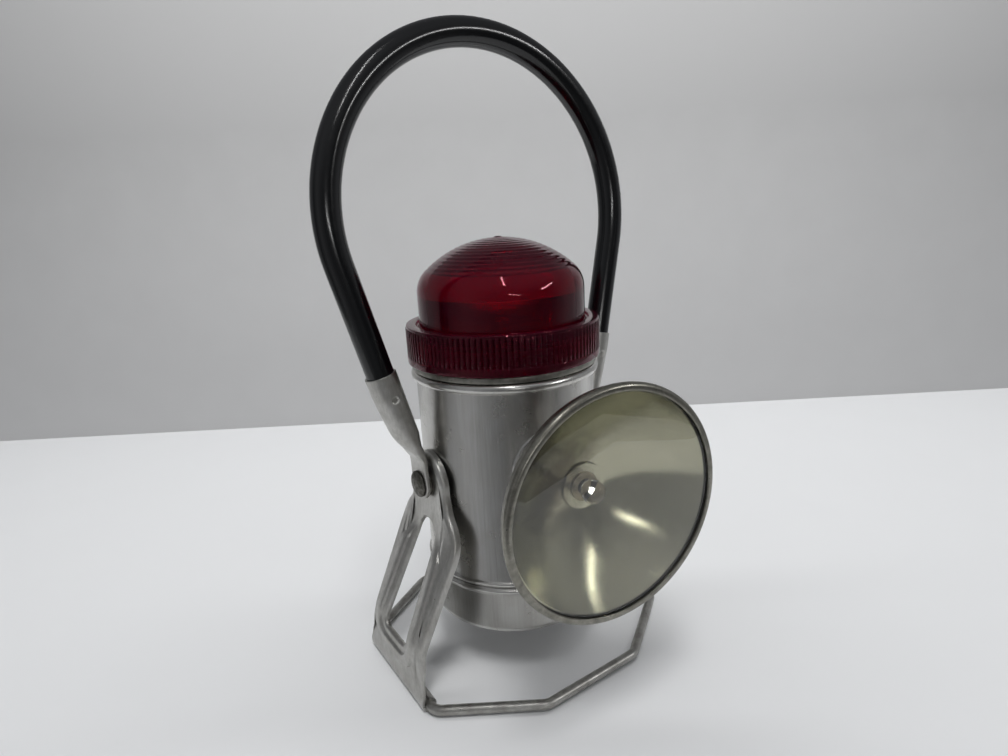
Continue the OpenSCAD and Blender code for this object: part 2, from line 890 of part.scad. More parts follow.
module bulb_base() {
    color(brass) {
        translate([0, 0, seat_gap])
            cylinder(r = bulb_base_radius + bulb_flange_proud, h = bulb_flange);
        translate([0, 0, -bulb_base_length])
            cylinder(r = bulb_base_radius, h = bulb_base_length + bulb_flange);
        translate([0, 0, -bulb_base_length - 1])
            cylinder(r = 2, h = 1);
    }
}

module bulb_glass() {
    foot = 2 * seat_gap + bulb_flange;
    color("lightyellow", 0.5) {
        translate([0, 0, foot])
            cylinder(r = bulb_neck, h = bulb_rise);
        translate([0, 0, foot + bulb_rise])
            sphere(r = bulb_glass_radius);
    }
}

dome_bulb_z = dish_floor + seat_gap + socket_sheet;

module dome_bulb_base() {
    translate([0, 0, dome_bulb_z])
        bulb_base();
}

module dome_bulb_glass() {
    translate([0, 0, dome_bulb_z])
        bulb_glass();
}

module lens_gasket() {
    color("black")
        tube(case_radius - 0.2, dish_radius + 1, gasket_foot, gasket_top);
}

// Inner line of the dome: prism steps on the crown, then plain shoulder and wall
function prism_line() =
    let (r = dome_crown - dome_wall, step = (90 - crown_angle) / prism_count)
        [for (i = [0:prism_count - 1]) let (a = crown_angle + i * step, b = a + step)
            each [
                [(r + prism_depth) * cos(a), crown_z + (r + prism_depth) * sin(a)],
                [max(0, r * cos(b)), crown_z + r * sin(b)]
            ]];

module dome_lens() {
    nub = 1.8;
    chamfer = 0.6;
    outer = concat(
        arc(shoulder_y, shoulder_z, dome_shoulder, 0, crown_angle, 10),
        arc(0, crown_z, dome_crown, crown_angle, 90, 12)
    );
    inner = concat(
        arc(shoulder_y, shoulder_z, dome_shoulder - dome_wall, 0, crown_angle, 10),
        prism_line()
    );
    rib_root = ring_radius - knurl_depth;
    rib_tip = ring_radius - 0.05;
    rib_dip = 0.1;
    rib_foot = lens_foot + plain_band;
    rib_top = lens_rim - plain_lip;
    rib_run = 0.3;
    lip_radius = ring_radius - 0.5;
    moat = 2;
    color("firebrick", 0.7) {
        rotate_extrude()
            polygon(concat(
                [
                    [lens_bore, lens_foot], [ring_radius - chamfer, lens_foot],
                    [ring_radius, lens_foot + chamfer], [ring_radius, rib_foot - rib_run],
                    [rib_root, rib_foot + rib_run], [rib_root, rib_top - rib_run],
                    [lip_radius, rib_top + rib_run], [lip_radius, lens_rim - chamfer],
                    [lip_radius - chamfer, lens_rim], [dome_radius + moat + 0.4, lens_rim],
                    [dome_radius + moat, lens_rim - moat], [dome_radius, lens_rim - moat]
                ],
                outer,
                [for (i = [len(inner) - 1:-1:0]) inner[i]],
                [[dome_radius - dome_wall, lens_seat], [lens_bore, lens_seat]]
            ));
        difference() {
            translate([0, 0, rib_foot])
                linear_extrude(height = rib_top - rib_foot)
                    polygon([for (i = [0:2 * knurl_count - 1])
                        let (a = 180 * i / knurl_count, r = i % 2 == 0 ? rib_tip : rib_root - rib_dip)
                            [r * cos(a), r * sin(a)]]);
            translate([0, 0, lens_foot])
                cylinder(r = (rib_root + lens_bore) / 2, h = ring_height);
        }
        translate([0, 0, crown_z + dome_crown - nub])
            cylinder(r = nub, h = nub + 0.4);
    }
}

// Spotlight

module spot_neck() {
    flange_front = bowl_back - seat_gap;
    flange_radius = bowl_foot_radius + 1;
    flange_sheet = 1.5;
    thread_wall = 3;
    color(aluminium)
        difference() {
            union() {
                difference() {
                    on_spot_axis()
                        rotate_extrude()
                            polygon([
                                [0, case_bore / 2], [neck_radius, case_bore / 2],
                                [neck_radius, flange_front - 2 * flange_sheet],
                                [flange_radius, flange_front - flange_sheet],
                                [flange_radius, flange_front], [neck_radius, flange_front],
                                [neck_radius, neck_front], [0, neck_front]
                            ]);
                    cylinder(r = case_radius + seat_gap, h = tube_top);
                }
                intersection() {
                    on_spot_axis()
                        cylinder(r = saddle_radius, h = 2 * case_radius);
                    tube(case_radius + saddle_sheet, case_radius + seat_gap, floor_height, tube_top);
                }
                on_spot_axis()
                    translate([0, 0, thread_end])
                        cylinder(r = thread_radius, h = neck_radius);
            }
            on_spot_axis()
                translate([0, 0, socket_back - insulator_height - 2 * seat_gap])
                    cylinder(r = lamp_hole - seat_gap, h = 2 * case_radius);
            on_spot_axis()
                cylinder(r = thread_radius - thread_wall, h = 2 * case_radius);
        }
}

module spot_lock_nut() {
    nut_corner = 15;
    nut_height = 3;
    nut_face = sqrt(pow(case_bore, 2) - pow(nut_corner, 2)) - seat_gap;
    color(steel)
        on_spot_axis()
            difference() {
                translate([0, 0, nut_face - nut_height])
                    cylinder(r = nut_corner, h = nut_height, $fn = 6);
                cylinder(r = thread_radius + seat_gap, h = 2 * case_radius);
            }
}

// Bowl behind the reflector, seated on the neck's flange
module spot_housing() {
    steps = 14;
    line = concat(
        [[neck_radius + seat_gap, bowl_back], [bowl_foot_radius, bowl_back]],
        [for (i = [1:steps]) let (r = bowl_foot_radius + (bowl_rim - bowl_foot_radius) * i / steps)
            [r, mirror_at(r) - bowl_depth]],
        [[spot_inner, bowl_rim_back]]
    );
    color(aluminium)
        on_spot_axis()
            rotate_extrude()
                polygon(concat(line, [for (i = [len(line) - 1:-1:0]) line[i] + [0, bowl_sheet]]));
}

module spot_insulator() {
    color("saddlebrown")
        on_spot_axis()
            tube(socket_radius, 2, socket_back - insulator_height - seat_gap, socket_back - seat_gap);
}

module spot_socket() {
    color(brass)
        on_spot_axis()
            difference() {
                union() {
                    translate([0, 0, socket_back])
                        cylinder(r = socket_radius, h = socket_front + socket_sheet - socket_back);
                    translate([0, 0, socket_front])
                        cylinder(r = socket_lip, h = socket_sheet);
                }
                translate([0, 0, socket_back + 1.5])
                    cylinder(r = bulb_base_radius + seat_gap, h = socket_front);
            }
}

module spot_bulb_base() {
    on_spot_axis()
        translate([0, 0, socket_front + socket_sheet])
            bulb_base();
}

module spot_bulb_glass() {
    on_spot_axis()
        translate([0, 0, socket_front + socket_sheet])
            bulb_glass();
}

module spot_reflector() {
    steps = 18;
    line = concat(
        [for (i = [0:steps]) let (r = lamp_hole + (mirror_radius - lamp_hole) * i / steps)
            [r, mirror_at(r)]],
        [[spot_inner - 0.2, reflector_rim]]
    );
    color("whitesmoke")
        on_spot_axis()
            rotate_extrude()
                polygon(concat(line, [for (i = [len(line) - 1:-1:0]) line[i] - [0, reflector_sheet]]));
}

module spot_gasket() {
    color("black")
        on_spot_axis()
            tube(spot_inner - 0.2, mirror_radius + 0.3, spot_gasket_back, lens_back - seat_gap);
}

module spot_lens() {
    lens_radius = spot_inner - 0.2;
    crown_edge = lip_radius - 0.3;
    ball = (crown_edge * crown_edge + lens_crown * lens_crown) / (2 * lens_crown);
    crown = arc(0, lens_front + lens_crown - ball, ball, acos(crown_edge / ball), 90, 12);
    color("lightcyan", 0.3)
        on_spot_axis()
            rotate_extrude()
                polygon(concat(
                    [[0, lens_back], [lens_radius, lens_back], [lens_radius, lens_front]],
                    [for (p = crown) [max(p[0], 0), p[1]]]
                ));
}

module spot_bezel() {
    edge = 2;
    outer_corner = arc(spot_radius - edge, bezel_front - edge, edge, 0, 90, 6);
    color("gray")
        on_spot_axis()
            rotate_extrude() {
                polygon(concat(
                    [[bezel_inner, bezel_back], [bezel_inner + bezel_sheet, bezel_back]],
                    outer_corner,
                    [[lip_radius, bezel_front], [lip_radius, bezel_front - bezel_sheet],
                        [bezel_inner, bezel_front - bezel_sheet]]
                ));
                translate([bezel_inner - bezel_hem / 2, bezel_back])
                    circle(r = bezel_hem);
            }
}

// Switch

module switch_body() {
    color("saddlebrown")
        translate([-switch_width / 2, switch_front - switch_depth, switch_z - switch_height / 2])
            cube([switch_width, switch_depth, switch_height]);
}

module switch_bushing() {
    color("gainsboro")
        on_switch_axis()
            difference() {
                translate([0, 0, switch_front + seat_gap])
                    cylinder(r = bushing_radius, h = bushing_end - switch_front - seat_gap);
                translate([0, 0, switch_front])
                    cylinder(r = bushing_bore, h = bushing_end - bushing_lip - switch_front);
                cylinder(r = bushing_mouth, h = 2 * bushing_end);
            }
}

module switch_nut() {
    nut_height = 2.4;
    nut_corner = bushing_radius + 2.6;
    color("gainsboro")
        on_switch_axis()
            difference() {
                translate([0, 0, case_radius + seat_gap])
                    cylinder(r = nut_corner, h = nut_height, $fn = 6);
                cylinder(r = bushing_radius + seat_gap, h = 2 * bushing_end);
            }
}

module switch_lever() {
    tip = lever_length - lever_tip;
    color("gainsboro")
        on_switch_axis()
            translate([0, 0, lever_y]) {
                sphere(r = lever_ball);
                cylinder(r1 = lever_stem, r2 = lever_tip, h = tip);
                translate([0, 0, tip])
                    sphere(r = lever_tip);
            }
}

// Bail

// Sets the bail in place, leaning back about the pivot
module on_bail() {
    translate([0, 0, pivot_z])
        rotate([-bail_lean, 0, 0])
            children();
}

// Runs along the right leg of the bail, from the pivot outwards and up
module on_bail_leg(distance) {
    translate([tab_middle, 0, 0])
        rotate([0, bail_splay, 0])
            translate([0, 0, distance])
                children();
}

module handle_tube() {
    sides = 24;
    steps = 40;
    leg_way = [sin(bail_splay), 0, cos(bail_splay)];
    leg_end = [tab_middle, 0, 0] + (handle_start + seat_gap) * leg_way;
    bow = arc(0, bail_rise, bail_radius, -bail_splay, 180 + bail_splay, steps);
    color("black")
        on_bail()
            swept_bar(
                concat([leg_end], [for (p = bow) [p[0], 0, p[1]]], [[-leg_end[0], 0, leg_end[2]]]),
                [0, -1, 0], handle_radius, sides
            );
}

// Tube end pressed flat around the pivot and opening into a round socket for the handle
module ferrule() {
    loft = 0.5;
    shrink = 0.04;
    dimple = 2;
    dimple_depth = 0.6;
    dimple_drop = 13.4;
    on_bail()
        difference() {
            union() {
                translate([tab_in, 0, 0])
                    rotate([90, 0, 90])
                        linear_extrude(height = tab_sheet) {
                            circle(r = tab_radius);
                            translate([-tab_radius, 0])
                                square([2 * tab_radius, tab_top]);
                        }
                hull() {
                    translate([tab_in + shrink, shrink - tab_radius, tab_top - loft])
                        cube([tab_sheet - 2 * shrink, 2 * (tab_radius - shrink), loft / 2]);
                    on_bail_leg(round_start + loft)
                        cylinder(r = ferrule_radius - shrink, h = loft, $fn = 32);
                }
                on_bail_leg(round_start)
                    cylinder(r = ferrule_radius, h = ferrule_length - round_start);
            }
            on_bail_leg(handle_start)
                cylinder(r = handle_radius + seat_gap, h = ferrule_length);
            rotate([0, 90, 0])
                cylinder(r = pin_hole, h = 2 * tab_out);
            on_bail_leg(ferrule_length - dimple_drop)
                translate([ferrule_radius + dimple - dimple_depth, 0, 0])
                    sphere(r = dimple);
        }
}

module right_ferrule() {
    color(aluminium)
        ferrule();
}

module left_ferrule() {
    color(aluminium)
        mirror([1, 0, 0])
            ferrule();
}

base_wire();
left_leg();
right_leg();
pivot_spacers();
pivot_washers();
pivot_rivets();
case_tube();
bottom_cup();
neck_collar();
battery();
battery_springs();
contact_plate();
battery_contacts();
dome_contact_strip();
dome_reflector();
dome_socket();
dome_bulb_base();
dome_bulb_glass();
lens_gasket();
dome_lens();
spot_neck();
spot_lock_nut();
spot_housing();
spot_insulator();
spot_socket();
spot_bulb_base();
spot_bulb_glass();
spot_reflector();
spot_gasket();
spot_lens();
spot_bezel();
switch_body();
switch_bushing();
switch_nut();
switch_lever();
handle_tube();
left_ferrule();
right_ferrule();
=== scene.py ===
"""Looks of a railroad hand lantern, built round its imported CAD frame. Sizes are in millimetres."""

import json
import math

import bmesh
import bpy
from mathutils import Matrix, Vector

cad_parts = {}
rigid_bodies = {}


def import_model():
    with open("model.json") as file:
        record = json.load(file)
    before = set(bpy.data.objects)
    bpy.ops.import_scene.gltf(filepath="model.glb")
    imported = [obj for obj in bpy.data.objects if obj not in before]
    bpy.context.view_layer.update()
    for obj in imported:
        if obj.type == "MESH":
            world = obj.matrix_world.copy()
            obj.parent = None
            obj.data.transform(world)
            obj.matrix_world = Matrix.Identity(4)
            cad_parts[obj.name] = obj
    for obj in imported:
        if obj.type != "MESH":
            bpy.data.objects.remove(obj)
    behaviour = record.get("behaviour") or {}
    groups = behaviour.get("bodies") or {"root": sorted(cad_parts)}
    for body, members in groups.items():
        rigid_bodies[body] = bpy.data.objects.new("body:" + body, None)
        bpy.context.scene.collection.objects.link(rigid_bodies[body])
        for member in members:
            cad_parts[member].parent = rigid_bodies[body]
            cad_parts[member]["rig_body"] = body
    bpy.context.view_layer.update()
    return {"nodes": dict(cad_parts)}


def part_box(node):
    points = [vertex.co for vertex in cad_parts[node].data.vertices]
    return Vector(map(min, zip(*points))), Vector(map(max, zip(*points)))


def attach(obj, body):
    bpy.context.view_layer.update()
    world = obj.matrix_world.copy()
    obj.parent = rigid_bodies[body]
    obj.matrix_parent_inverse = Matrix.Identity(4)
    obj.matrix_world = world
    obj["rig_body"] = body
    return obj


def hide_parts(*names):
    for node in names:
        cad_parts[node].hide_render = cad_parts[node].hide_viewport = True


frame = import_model()

# Frame values

MM = 0.001
nodes = frame["nodes"]
slot_of = {name: node.data.materials[0].name for name, node in nodes.items()}


def low(node):
    """Lowest corner of a CAD node, in millimetres."""
    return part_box(node)[0] / MM


def high(node):
    """Highest corner of a CAD node, in millimetres."""
    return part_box(node)[1] / MM


seat_gap = 0.05
case_radius = 46.0
case_wall = 0.9
case_bore = case_radius - case_wall
cup_foot = low("bottom_cup").z
joint_z = high("bottom_cup").z
tube_foot = low("case_tube").z
tube_top = high("case_tube").z
pivot_z = (low("pivot_rivets").z + high("pivot_rivets").z) / 2
spot_z = (low("spot_bezel").z + high("spot_bezel").z) / 2
spot_radius = (high("spot_bezel").z - low("spot_bezel").z) / 2
spot_front = 96.9
spot_turn = 7.0
lens_foot = low("dome_lens").z
dome_top = high("dome_lens").z
wire_z = (low("base_wire").z + high("base_wire").z) / 2
hem_reach = high("base_wire").x - 2.4

# Outlines


def arc(middle, radius, start, end, steps=8):
    """Points of an arc about a middle, between two angles in degrees."""
    angles = [math.radians(start + (end - start) * i / steps) for i in range(steps + 1)]
    return [(middle[0] + radius * math.cos(a), middle[1] + radius * math.sin(a)) for a in angles]


def rounded(corners, closed=True, steps=5):
    """Outline through corners (x, y, radius), each corner rounded by its own radius."""
    line = []
    for i, (x, y, radius) in enumerate(corners):
        here = Vector((x, y))
        if radius == 0 or (not closed and i in (0, len(corners) - 1)):
            line.append((x, y))
            continue
        back = (Vector(corners[i - 1][:2]) - here).normalized()
        ahead = (Vector(corners[(i + 1) % len(corners)][:2]) - here).normalized()
        half = back.angle(ahead) / 2
        middle = here + (back + ahead).normalized() * radius / math.sin(half)
        spoke = here + back * radius / math.tan(half) - middle
        turn = -spoke.angle_signed(here + ahead * radius / math.tan(half) - middle)
        for k in range(steps + 1):
            line.append(tuple(middle + Matrix.Rotation(turn * k / steps, 2) @ spoke))
    return line


def smooth(value, start, end):
    """0 before start, 1 after end, with an even ease between them."""
    t = min(1, max(0, (value - start) / (end - start)))
    return t * t * (3 - 2 * t)


# Shapes: each is a list of points and a list of faces


def skinned(rings, closed=False, capped=True):
    """Skin over rings that have equally many points; open ends are capped."""
    sides = len(rings[0])
    points = [p for ring in rings for p in ring]
    spans = len(rings) if closed else len(rings) - 1
    faces = []
    for i in range(spans):
        here = i * sides
        there = (i + 1) % len(rings) * sides
        for k in range(sides):
            n = (k + 1) % sides
            faces.append((here + k, here + n, there + n, there + k))
    if capped and not closed:
        faces.append(tuple(range(sides)))
        faces.append(tuple(range(len(points) - sides, len(points))))
    return points, faces


def turned(profile, steps=192, closed=True, flute=None):
    """Solid turned about Z from points (radius, height) or (radius, height, share of the flute depth)."""
    points = []
    rows = []
    for radius, height, *share in profile:
        if radius < 1e-6:
            rows.append([len(points)] * steps)
            points.append((0, 0, height))
            continue
        rows.append(range(len(points), len(points) + steps))
        for k in range(steps):
            angle = 2 * math.pi * k / steps
            reach = radius - (share[0] * flute(angle) if share else 0)
            points.append((reach * math.cos(angle), reach * math.sin(angle), height))
    faces = []
    for a, b in zip(rows, [*rows[1:], rows[0]] if closed else rows[1:]):
        for k in range(steps):
            n = (k + 1) % steps
            corners = tuple(dict.fromkeys((a[k], a[n], b[n], b[k])))
            if len(corners) > 2:
                faces.append(corners)
    return points, faces


def swept(path, up, radius, sides=32, closed=False):
    """Round bar along a path, with its rings set by an up direction."""
    path = [Vector(p) for p in path]
    rings = []
    for i, here in enumerate(path):
        ahead = path[(i + 1) % len(path)] if closed else path[min(i + 1, len(path) - 1)]
        before = path[i - 1] if closed else path[max(i - 1, 0)]
        along = (ahead - before).normalized()
        side = along.cross(Vector(up)).normalized()
        top = side.cross(along)
        angles = [2 * math.pi * k / sides for k in range(sides)]
        rings.append([here + radius * (math.cos(a) * side + math.sin(a) * top) for a in angles])
    return skinned(rings, closed)


def moved(shape, matrix):
    """A shape moved by a matrix."""
    return [matrix @ Vector(p) for p in shape[0]], shape[1]


def mirrored(shape):
    """A shape on the other side of the case."""
    return [Vector((-p[0], p[1], p[2])) for p in shape[0]], [tuple(reversed(f)) for f in shape[1]]


def joined(*shapes):
    """Several shapes as one."""
    points = []
    faces = []
    for shape in shapes:
        start = len(points)
        points.extend(shape[0])
        faces.extend(tuple(start + i for i in face) for face in shape[1])
    return points, faces


spot_way = Matrix.Rotation(-math.radians(spot_turn), 4, "Z")
to_spot = Matrix.Translation((0, 0, spot_z)) @ spot_way @ Matrix.Rotation(math.radians(90), 4, "X")
to_pivot = Matrix.Translation((0, 0, pivot_z)) @ Matrix.Rotation(math.radians(90), 4, "Y")

# Materials


def linear(colour):
    """Linear colour with full alpha from an sRGB hex value."""
    parts = [int(colour[i:i + 2], 16) / 255 for i in (1, 3, 5)]
    return (*[p / 12.92 if p <= 0.04045 else ((p + 0.055) / 1.055) ** 2.4 for p in parts], 1)


def per_mm(size):
    """Texture scale at which one cell of a pattern is this many millimetres wide."""
    return 1 / (size * MM)


def add(tree, kind, links=None, **settings):
    """Adds a shader node; links gives its inputs an output socket or a plain value."""
    made = tree.nodes.new(kind)
    for key, value in settings.items():
        setattr(made, key, value)
    for key, value in (links or {}).items():
        if isinstance(value, bpy.types.NodeSocket):
            tree.links.new(value, made.inputs[key])
        else:
            made.inputs[key].default_value = value
    return made


def blank(name):
    """A material with an empty tree, and the object coordinates in it."""
    made = bpy.data.materials.new(name)
    made.use_nodes = True
    made.node_tree.nodes.clear()
    place = add(made.node_tree, "ShaderNodeTexCoord").outputs["Object"]
    return made, made.node_tree, place


def finish_metal(tree, place, clean, dull, roughness, grain, grain_way, stain_size, pit_size):
    """Bare metal: grain lines one way, dull stains, small dark pits and uneven gloss."""
    lines = add(tree, "ShaderNodeMapping", {"Vector": place, "Scale": grain_way})
    grain_noise = add(tree, "ShaderNodeTexNoise",
                      {"Vector": lines.outputs[0], "Scale": per_mm(grain), "Detail": 4.0})
    stains = add(tree, "ShaderNodeTexNoise",
                 {"Vector": place, "Scale": per_mm(stain_size), "Detail": 7.0, "Roughness": 0.62})
    stain_mask = add(tree, "ShaderNodeMapRange",
                     {"Value": stains.outputs["Fac"], "From Min": 0.38, "From Max": 0.68})
    cells = add(tree, "ShaderNodeTexVoronoi", {"Vector": place, "Scale": per_mm(pit_size)})
    pits = add(tree, "ShaderNodeMapRange",
               {"Value": cells.outputs["Distance"], "From Min": 0.035, "From Max": 0.06,
                "To Min": 1.0, "To Max": 0.0})
    sparse = add(tree, "ShaderNodeMapRange",
                 {"Value": cells.outputs["Color"], "From Min": 0.62, "From Max": 0.66})
    pit_mask = add(tree, "ShaderNodeMath", {0: pits.outputs[0], 1: sparse.outputs[0]}, operation="MULTIPLY")
    tone = add(tree, "ShaderNodeMix",
               {"Factor": stain_mask.outputs[0], 6: linear(clean), 7: linear(dull)}, data_type="RGBA")
    lined = add(tree, "ShaderNodeMix",
                {"Factor": 0.22, 6: tone.outputs[2], 7: grain_noise.outputs["Fac"]},
                data_type="RGBA", blend_type="OVERLAY")
    pitted = add(tree, "ShaderNodeMix",
                 {"Factor": pit_mask.outputs[0], 6: lined.outputs[2], 7: linear("#2b2925")},
                 data_type="RGBA")
    gloss = add(tree, "ShaderNodeMapRange",
                {"Value": stains.outputs["Fac"], "From Min": 0.3, "From Max": 0.75,
                 "To Min": roughness[0], "To Max": roughness[1]})
    relief = add(tree, "ShaderNodeMath", {0: grain_noise.outputs["Fac"], 1: pit_mask.outputs[0]},
                 operation="SUBTRACT")
    bump = add(tree, "ShaderNodeBump", {"Height": relief.outputs[0], "Strength": 0.1, "Distance": 0.1 * MM})
    shader = add(tree, "ShaderNodeBsdfPrincipled",
                 {"Base Color": pitted.outputs[2], "Metallic": 1.0, "Roughness": gloss.outputs[0],
                  "Normal": bump.outputs[0]})
    add(tree, "ShaderNodeOutputMaterial", {"Surface": shader.outputs[0]})


def drawn_aluminium():
    """Deep-drawn aluminium sheet: satin, with faint lengthwise drawing lines and soft grey stains."""
    made, tree, place = blank("drawn_aluminium")
    finish_metal(tree, place, "#c6c5c2", "#bcbab5", (0.24, 0.29), 0.7, (1, 1, 0.02), 15, 7)
    return made


def pressed_aluminium():
    """Pressed aluminium sheet: duller than the case, scuffed grey by handling."""
    made, tree, place = blank("pressed_aluminium")
    finish_metal(tree, place, "#b9b8b4", "#a5a39e", (0.33, 0.42), 0.9, (1, 1, 0.2), 9, 5)
    return made


def bright_wire():
    """Drawn wire: lengthwise lines under a dull oxide."""
    made, tree, place = blank("bright_wire")
    finish_metal(tree, place, "#b0afab", "#8f8d88", (0.34, 0.46), 0.8, (0.3, 0.3, 1), 7, 4)
    return made


def rivet_steel():
    """Headed steel: dark grey, mottled and half matt."""
    made, tree, place = blank("rivet_steel")
    finish_metal(tree, place, "#77756f", "#45433d", (0.4, 0.6), 0.9, (1, 1, 1), 2.5, 1.2)
    return made


def spun_collar():
    """Spun aluminium collar: grey, with turning lines round it."""
    made, tree, place = blank("spun_collar")
    finish_metal(tree, place, "#98968f", "#74726b", (0.3, 0.42), 0.5, (0.05, 0.05, 1), 6, 3.5)
    return made


def worn_bezel():
    """Plated steel bezel, worn grey and pitted along its edge."""
    made, tree, place = blank("worn_bezel")
    finish_metal(tree, place, "#949289", "#75736b", (0.26, 0.38), 0.7, (1, 1, 1), 5, 2.2)
    return made


def spring_steel():
    """Oil-tempered spring wire."""
    made, tree, place = blank("spring_steel")
    finish_metal(tree, place, "#9b9a98", "#66645f", (0.25, 0.4), 0.3, (1, 1, 1), 3, 1)
    return made


def nickel_plate():
    """Nickel-plated brass of the switch."""
    made, tree, place = blank("nickel_plate")
    finish_metal(tree, place, "#cfcabf", "#98938a", (0.14, 0.3), 0.4, (1, 1, 1), 4, 2)
    return made


def turned_brass():
    """Turned brass, browned by age."""
    made, tree, place = blank("turned_brass")
    finish_metal(tree, place, "#9a917a", "#6f6753", (0.3, 0.45), 0.4, (1, 1, 1), 4, 2)
    return made


def silvered_mirror():
    """Spun and silvered reflector: spinning lines draw lights out along its radii; browned by age."""
    made, tree, place = blank("silvered_mirror")
    tarnish_at = Vector((-25, -72, spot_z + 8)) * MM
    tarnish_reach = (6 * MM, 27 * MM)
    tarnish_fray = 34 * MM
    away = add(tree, "ShaderNodeVectorMath", {0: place, 1: tarnish_at}, operation="DISTANCE")
    ragged = add(tree, "ShaderNodeTexNoise",
                 {"Vector": place, "Scale": per_mm(11), "Detail": 6.0, "Distortion": 0.8})
    edge = add(tree, "ShaderNodeMath",
               {0: ragged.outputs["Fac"], 1: tarnish_fray, 2: away.outputs["Value"]},
               operation="MULTIPLY_ADD")
    tarnish = add(tree, "ShaderNodeMapRange",
                  {"Value": edge.outputs[0], "From Min": tarnish_fray / 2 + tarnish_reach[0],
                   "From Max": tarnish_fray / 2 + tarnish_reach[1], "To Min": 0.85, "To Max": 0.0})
    bloom = add(tree, "ShaderNodeTexNoise",
                {"Vector": place, "Scale": per_mm(22), "Detail": 5.0, "Roughness": 0.6})
    wiped = add(tree, "ShaderNodeTexNoise",
                {"Vector": place, "Scale": per_mm(3), "Detail": 8.0, "Distortion": 1.5})
    tone = add(tree, "ShaderNodeMix",
               {"Factor": bloom.outputs["Fac"], 6: linear("#c1c0ac"), 7: linear("#adac96")},
               data_type="RGBA")
    browned = add(tree, "ShaderNodeMix",
                  {"Factor": tarnish.outputs[0], 6: tone.outputs[2], 7: linear("#5c5344")},
                  data_type="RGBA")
    gloss = add(tree, "ShaderNodeMapRange",
                {"Value": wiped.outputs["Fac"], "From Min": 0.35, "From Max": 0.75,
                 "To Min": 0.15, "To Max": 0.24})
    spun = add(tree, "ShaderNodeTangent", direction_type="RADIAL", axis="Y")
    shader = add(tree, "ShaderNodeBsdfPrincipled",
                 {"Base Color": browned.outputs[2], "Metallic": 1.0, "Roughness": gloss.outputs[0],
                  "Anisotropic": 0.6, "Anisotropic Rotation": 0.25, "Tangent": spun.outputs[0]})
    add(tree, "ShaderNodeOutputMaterial", {"Surface": shader.outputs[0]})
    return made


def ruby_acrylic():
    """Moulded ruby acrylic: the red deepens with the thickness of the plastic; fine scuffs in the gloss."""
    made, tree, place = blank("ruby_acrylic")
    scuffs = add(tree, "ShaderNodeTexNoise",
                 {"Vector": place, "Scale": per_mm(1.2), "Detail": 8.0, "Distortion": 2.0})
    gloss = add(tree, "ShaderNodeMapRange",
                {"Value": scuffs.outputs["Fac"], "From Min": 0.45, "From Max": 0.8,
                 "To Min": 0.03, "To Max": 0.16})
    bump = add(tree, "ShaderNodeBump",
               {"Height": scuffs.outputs["Fac"], "Strength": 0.03, "Distance": 0.1 * MM})
    shader = add(tree, "ShaderNodeBsdfPrincipled",
                 {"Base Color": linear("#d81862"), "Roughness": gloss.outputs[0], "IOR": 1.49,
                  "Specular Tint": linear("#ffa6b0"), "Transmission Weight": 0.965,
                  "Normal": bump.outputs[0]})
    dye = add(tree, "ShaderNodeVolumeAbsorption", {"Color": linear("#de3cc6"), "Density": 1000.0})
    add(tree, "ShaderNodeOutputMaterial", {"Surface": shader.outputs[0], "Volume": dye.outputs[0]})
    return made


def pressed_glass():
    """Pressed soda glass: clear, with a trace of haze."""
    made, tree, place = blank("pressed_glass")
    haze = add(tree, "ShaderNodeTexNoise",
               {"Vector": place, "Scale": per_mm(9), "Detail": 6.0, "Distortion": 1.0})
    gloss = add(tree, "ShaderNodeMapRange",
                {"Value": haze.outputs["Fac"], "From Min": 0.45, "From Max": 0.8,
                 "To Min": 0.0, "To Max": 0.05})
    tone = add(tree, "ShaderNodeMix",
               {"Factor": haze.outputs["Fac"], 6: linear("#fbfaf7"), 7: linear("#f6f5f0")},
               data_type="RGBA")
    shader = add(tree, "ShaderNodeBsdfPrincipled",
                 {"Base Color": tone.outputs[2], "Roughness": gloss.outputs[0], "IOR": 1.5,
                  "Transmission Weight": 1.0})
    add(tree, "ShaderNodeOutputMaterial", {"Surface": shader.outputs[0]})
    return made


def finish_solid(tree, place, deep, light, roughness, mottle, index, relief):
    """Opaque plastic, rubber or board: mottled tone, uneven gloss and a fine relief."""
    blotch = add(tree, "ShaderNodeTexNoise",
                 {"Vector": place, "Scale": per_mm(mottle), "Detail": 6.0, "Roughness": 0.6})
    fine = add(tree, "ShaderNodeTexNoise", {"Vector": place, "Scale": per_mm(mottle / 9), "Detail": 6.0})
    tone = add(tree, "ShaderNodeMix",
               {"Factor": blotch.outputs["Fac"], 6: linear(deep), 7: linear(light)}, data_type="RGBA")
    gloss = add(tree, "ShaderNodeMapRange",
                {"Value": fine.outputs["Fac"], "From Min": 0.3, "From Max": 0.75,
                 "To Min": roughness[0], "To Max": roughness[1]})
    bump = add(tree, "ShaderNodeBump",
               {"Height": fine.outputs["Fac"], "Strength": relief, "Distance": 0.1 * MM})
    shader = add(tree, "ShaderNodeBsdfPrincipled",
                 {"Base Color": tone.outputs[2], "Roughness": gloss.outputs[0], "IOR": index,
                  "Normal": bump.outputs[0]})
    add(tree, "ShaderNodeOutputMaterial", {"Surface": shader.outputs[0]})


def black_vinyl():
    """Extruded vinyl tube: near black with a cold cast, glossy and lightly scuffed."""
    made, tree, place = blank("black_vinyl")
    finish_solid(tree, place, "#020305", "#050609", (0.14, 0.2), 14, 1.53, 0.015)
    return made


def fibre_board():
    """Pressed brown fibre board of the contact plate and switch body."""
    made, tree, place = blank("fibre_board")
    finish_solid(tree, place, "#4a2c1a", "#6d452b", (0.45, 0.65), 3, 1.5, 0.2)
    return made


def black_rubber():
    """Moulded rubber of the gaskets."""
    made, tree, place = blank("black_rubber")
    finish_solid(tree, place, "#101010", "#242322", (0.6, 0.8), 3, 1.52, 0.2)
    return made


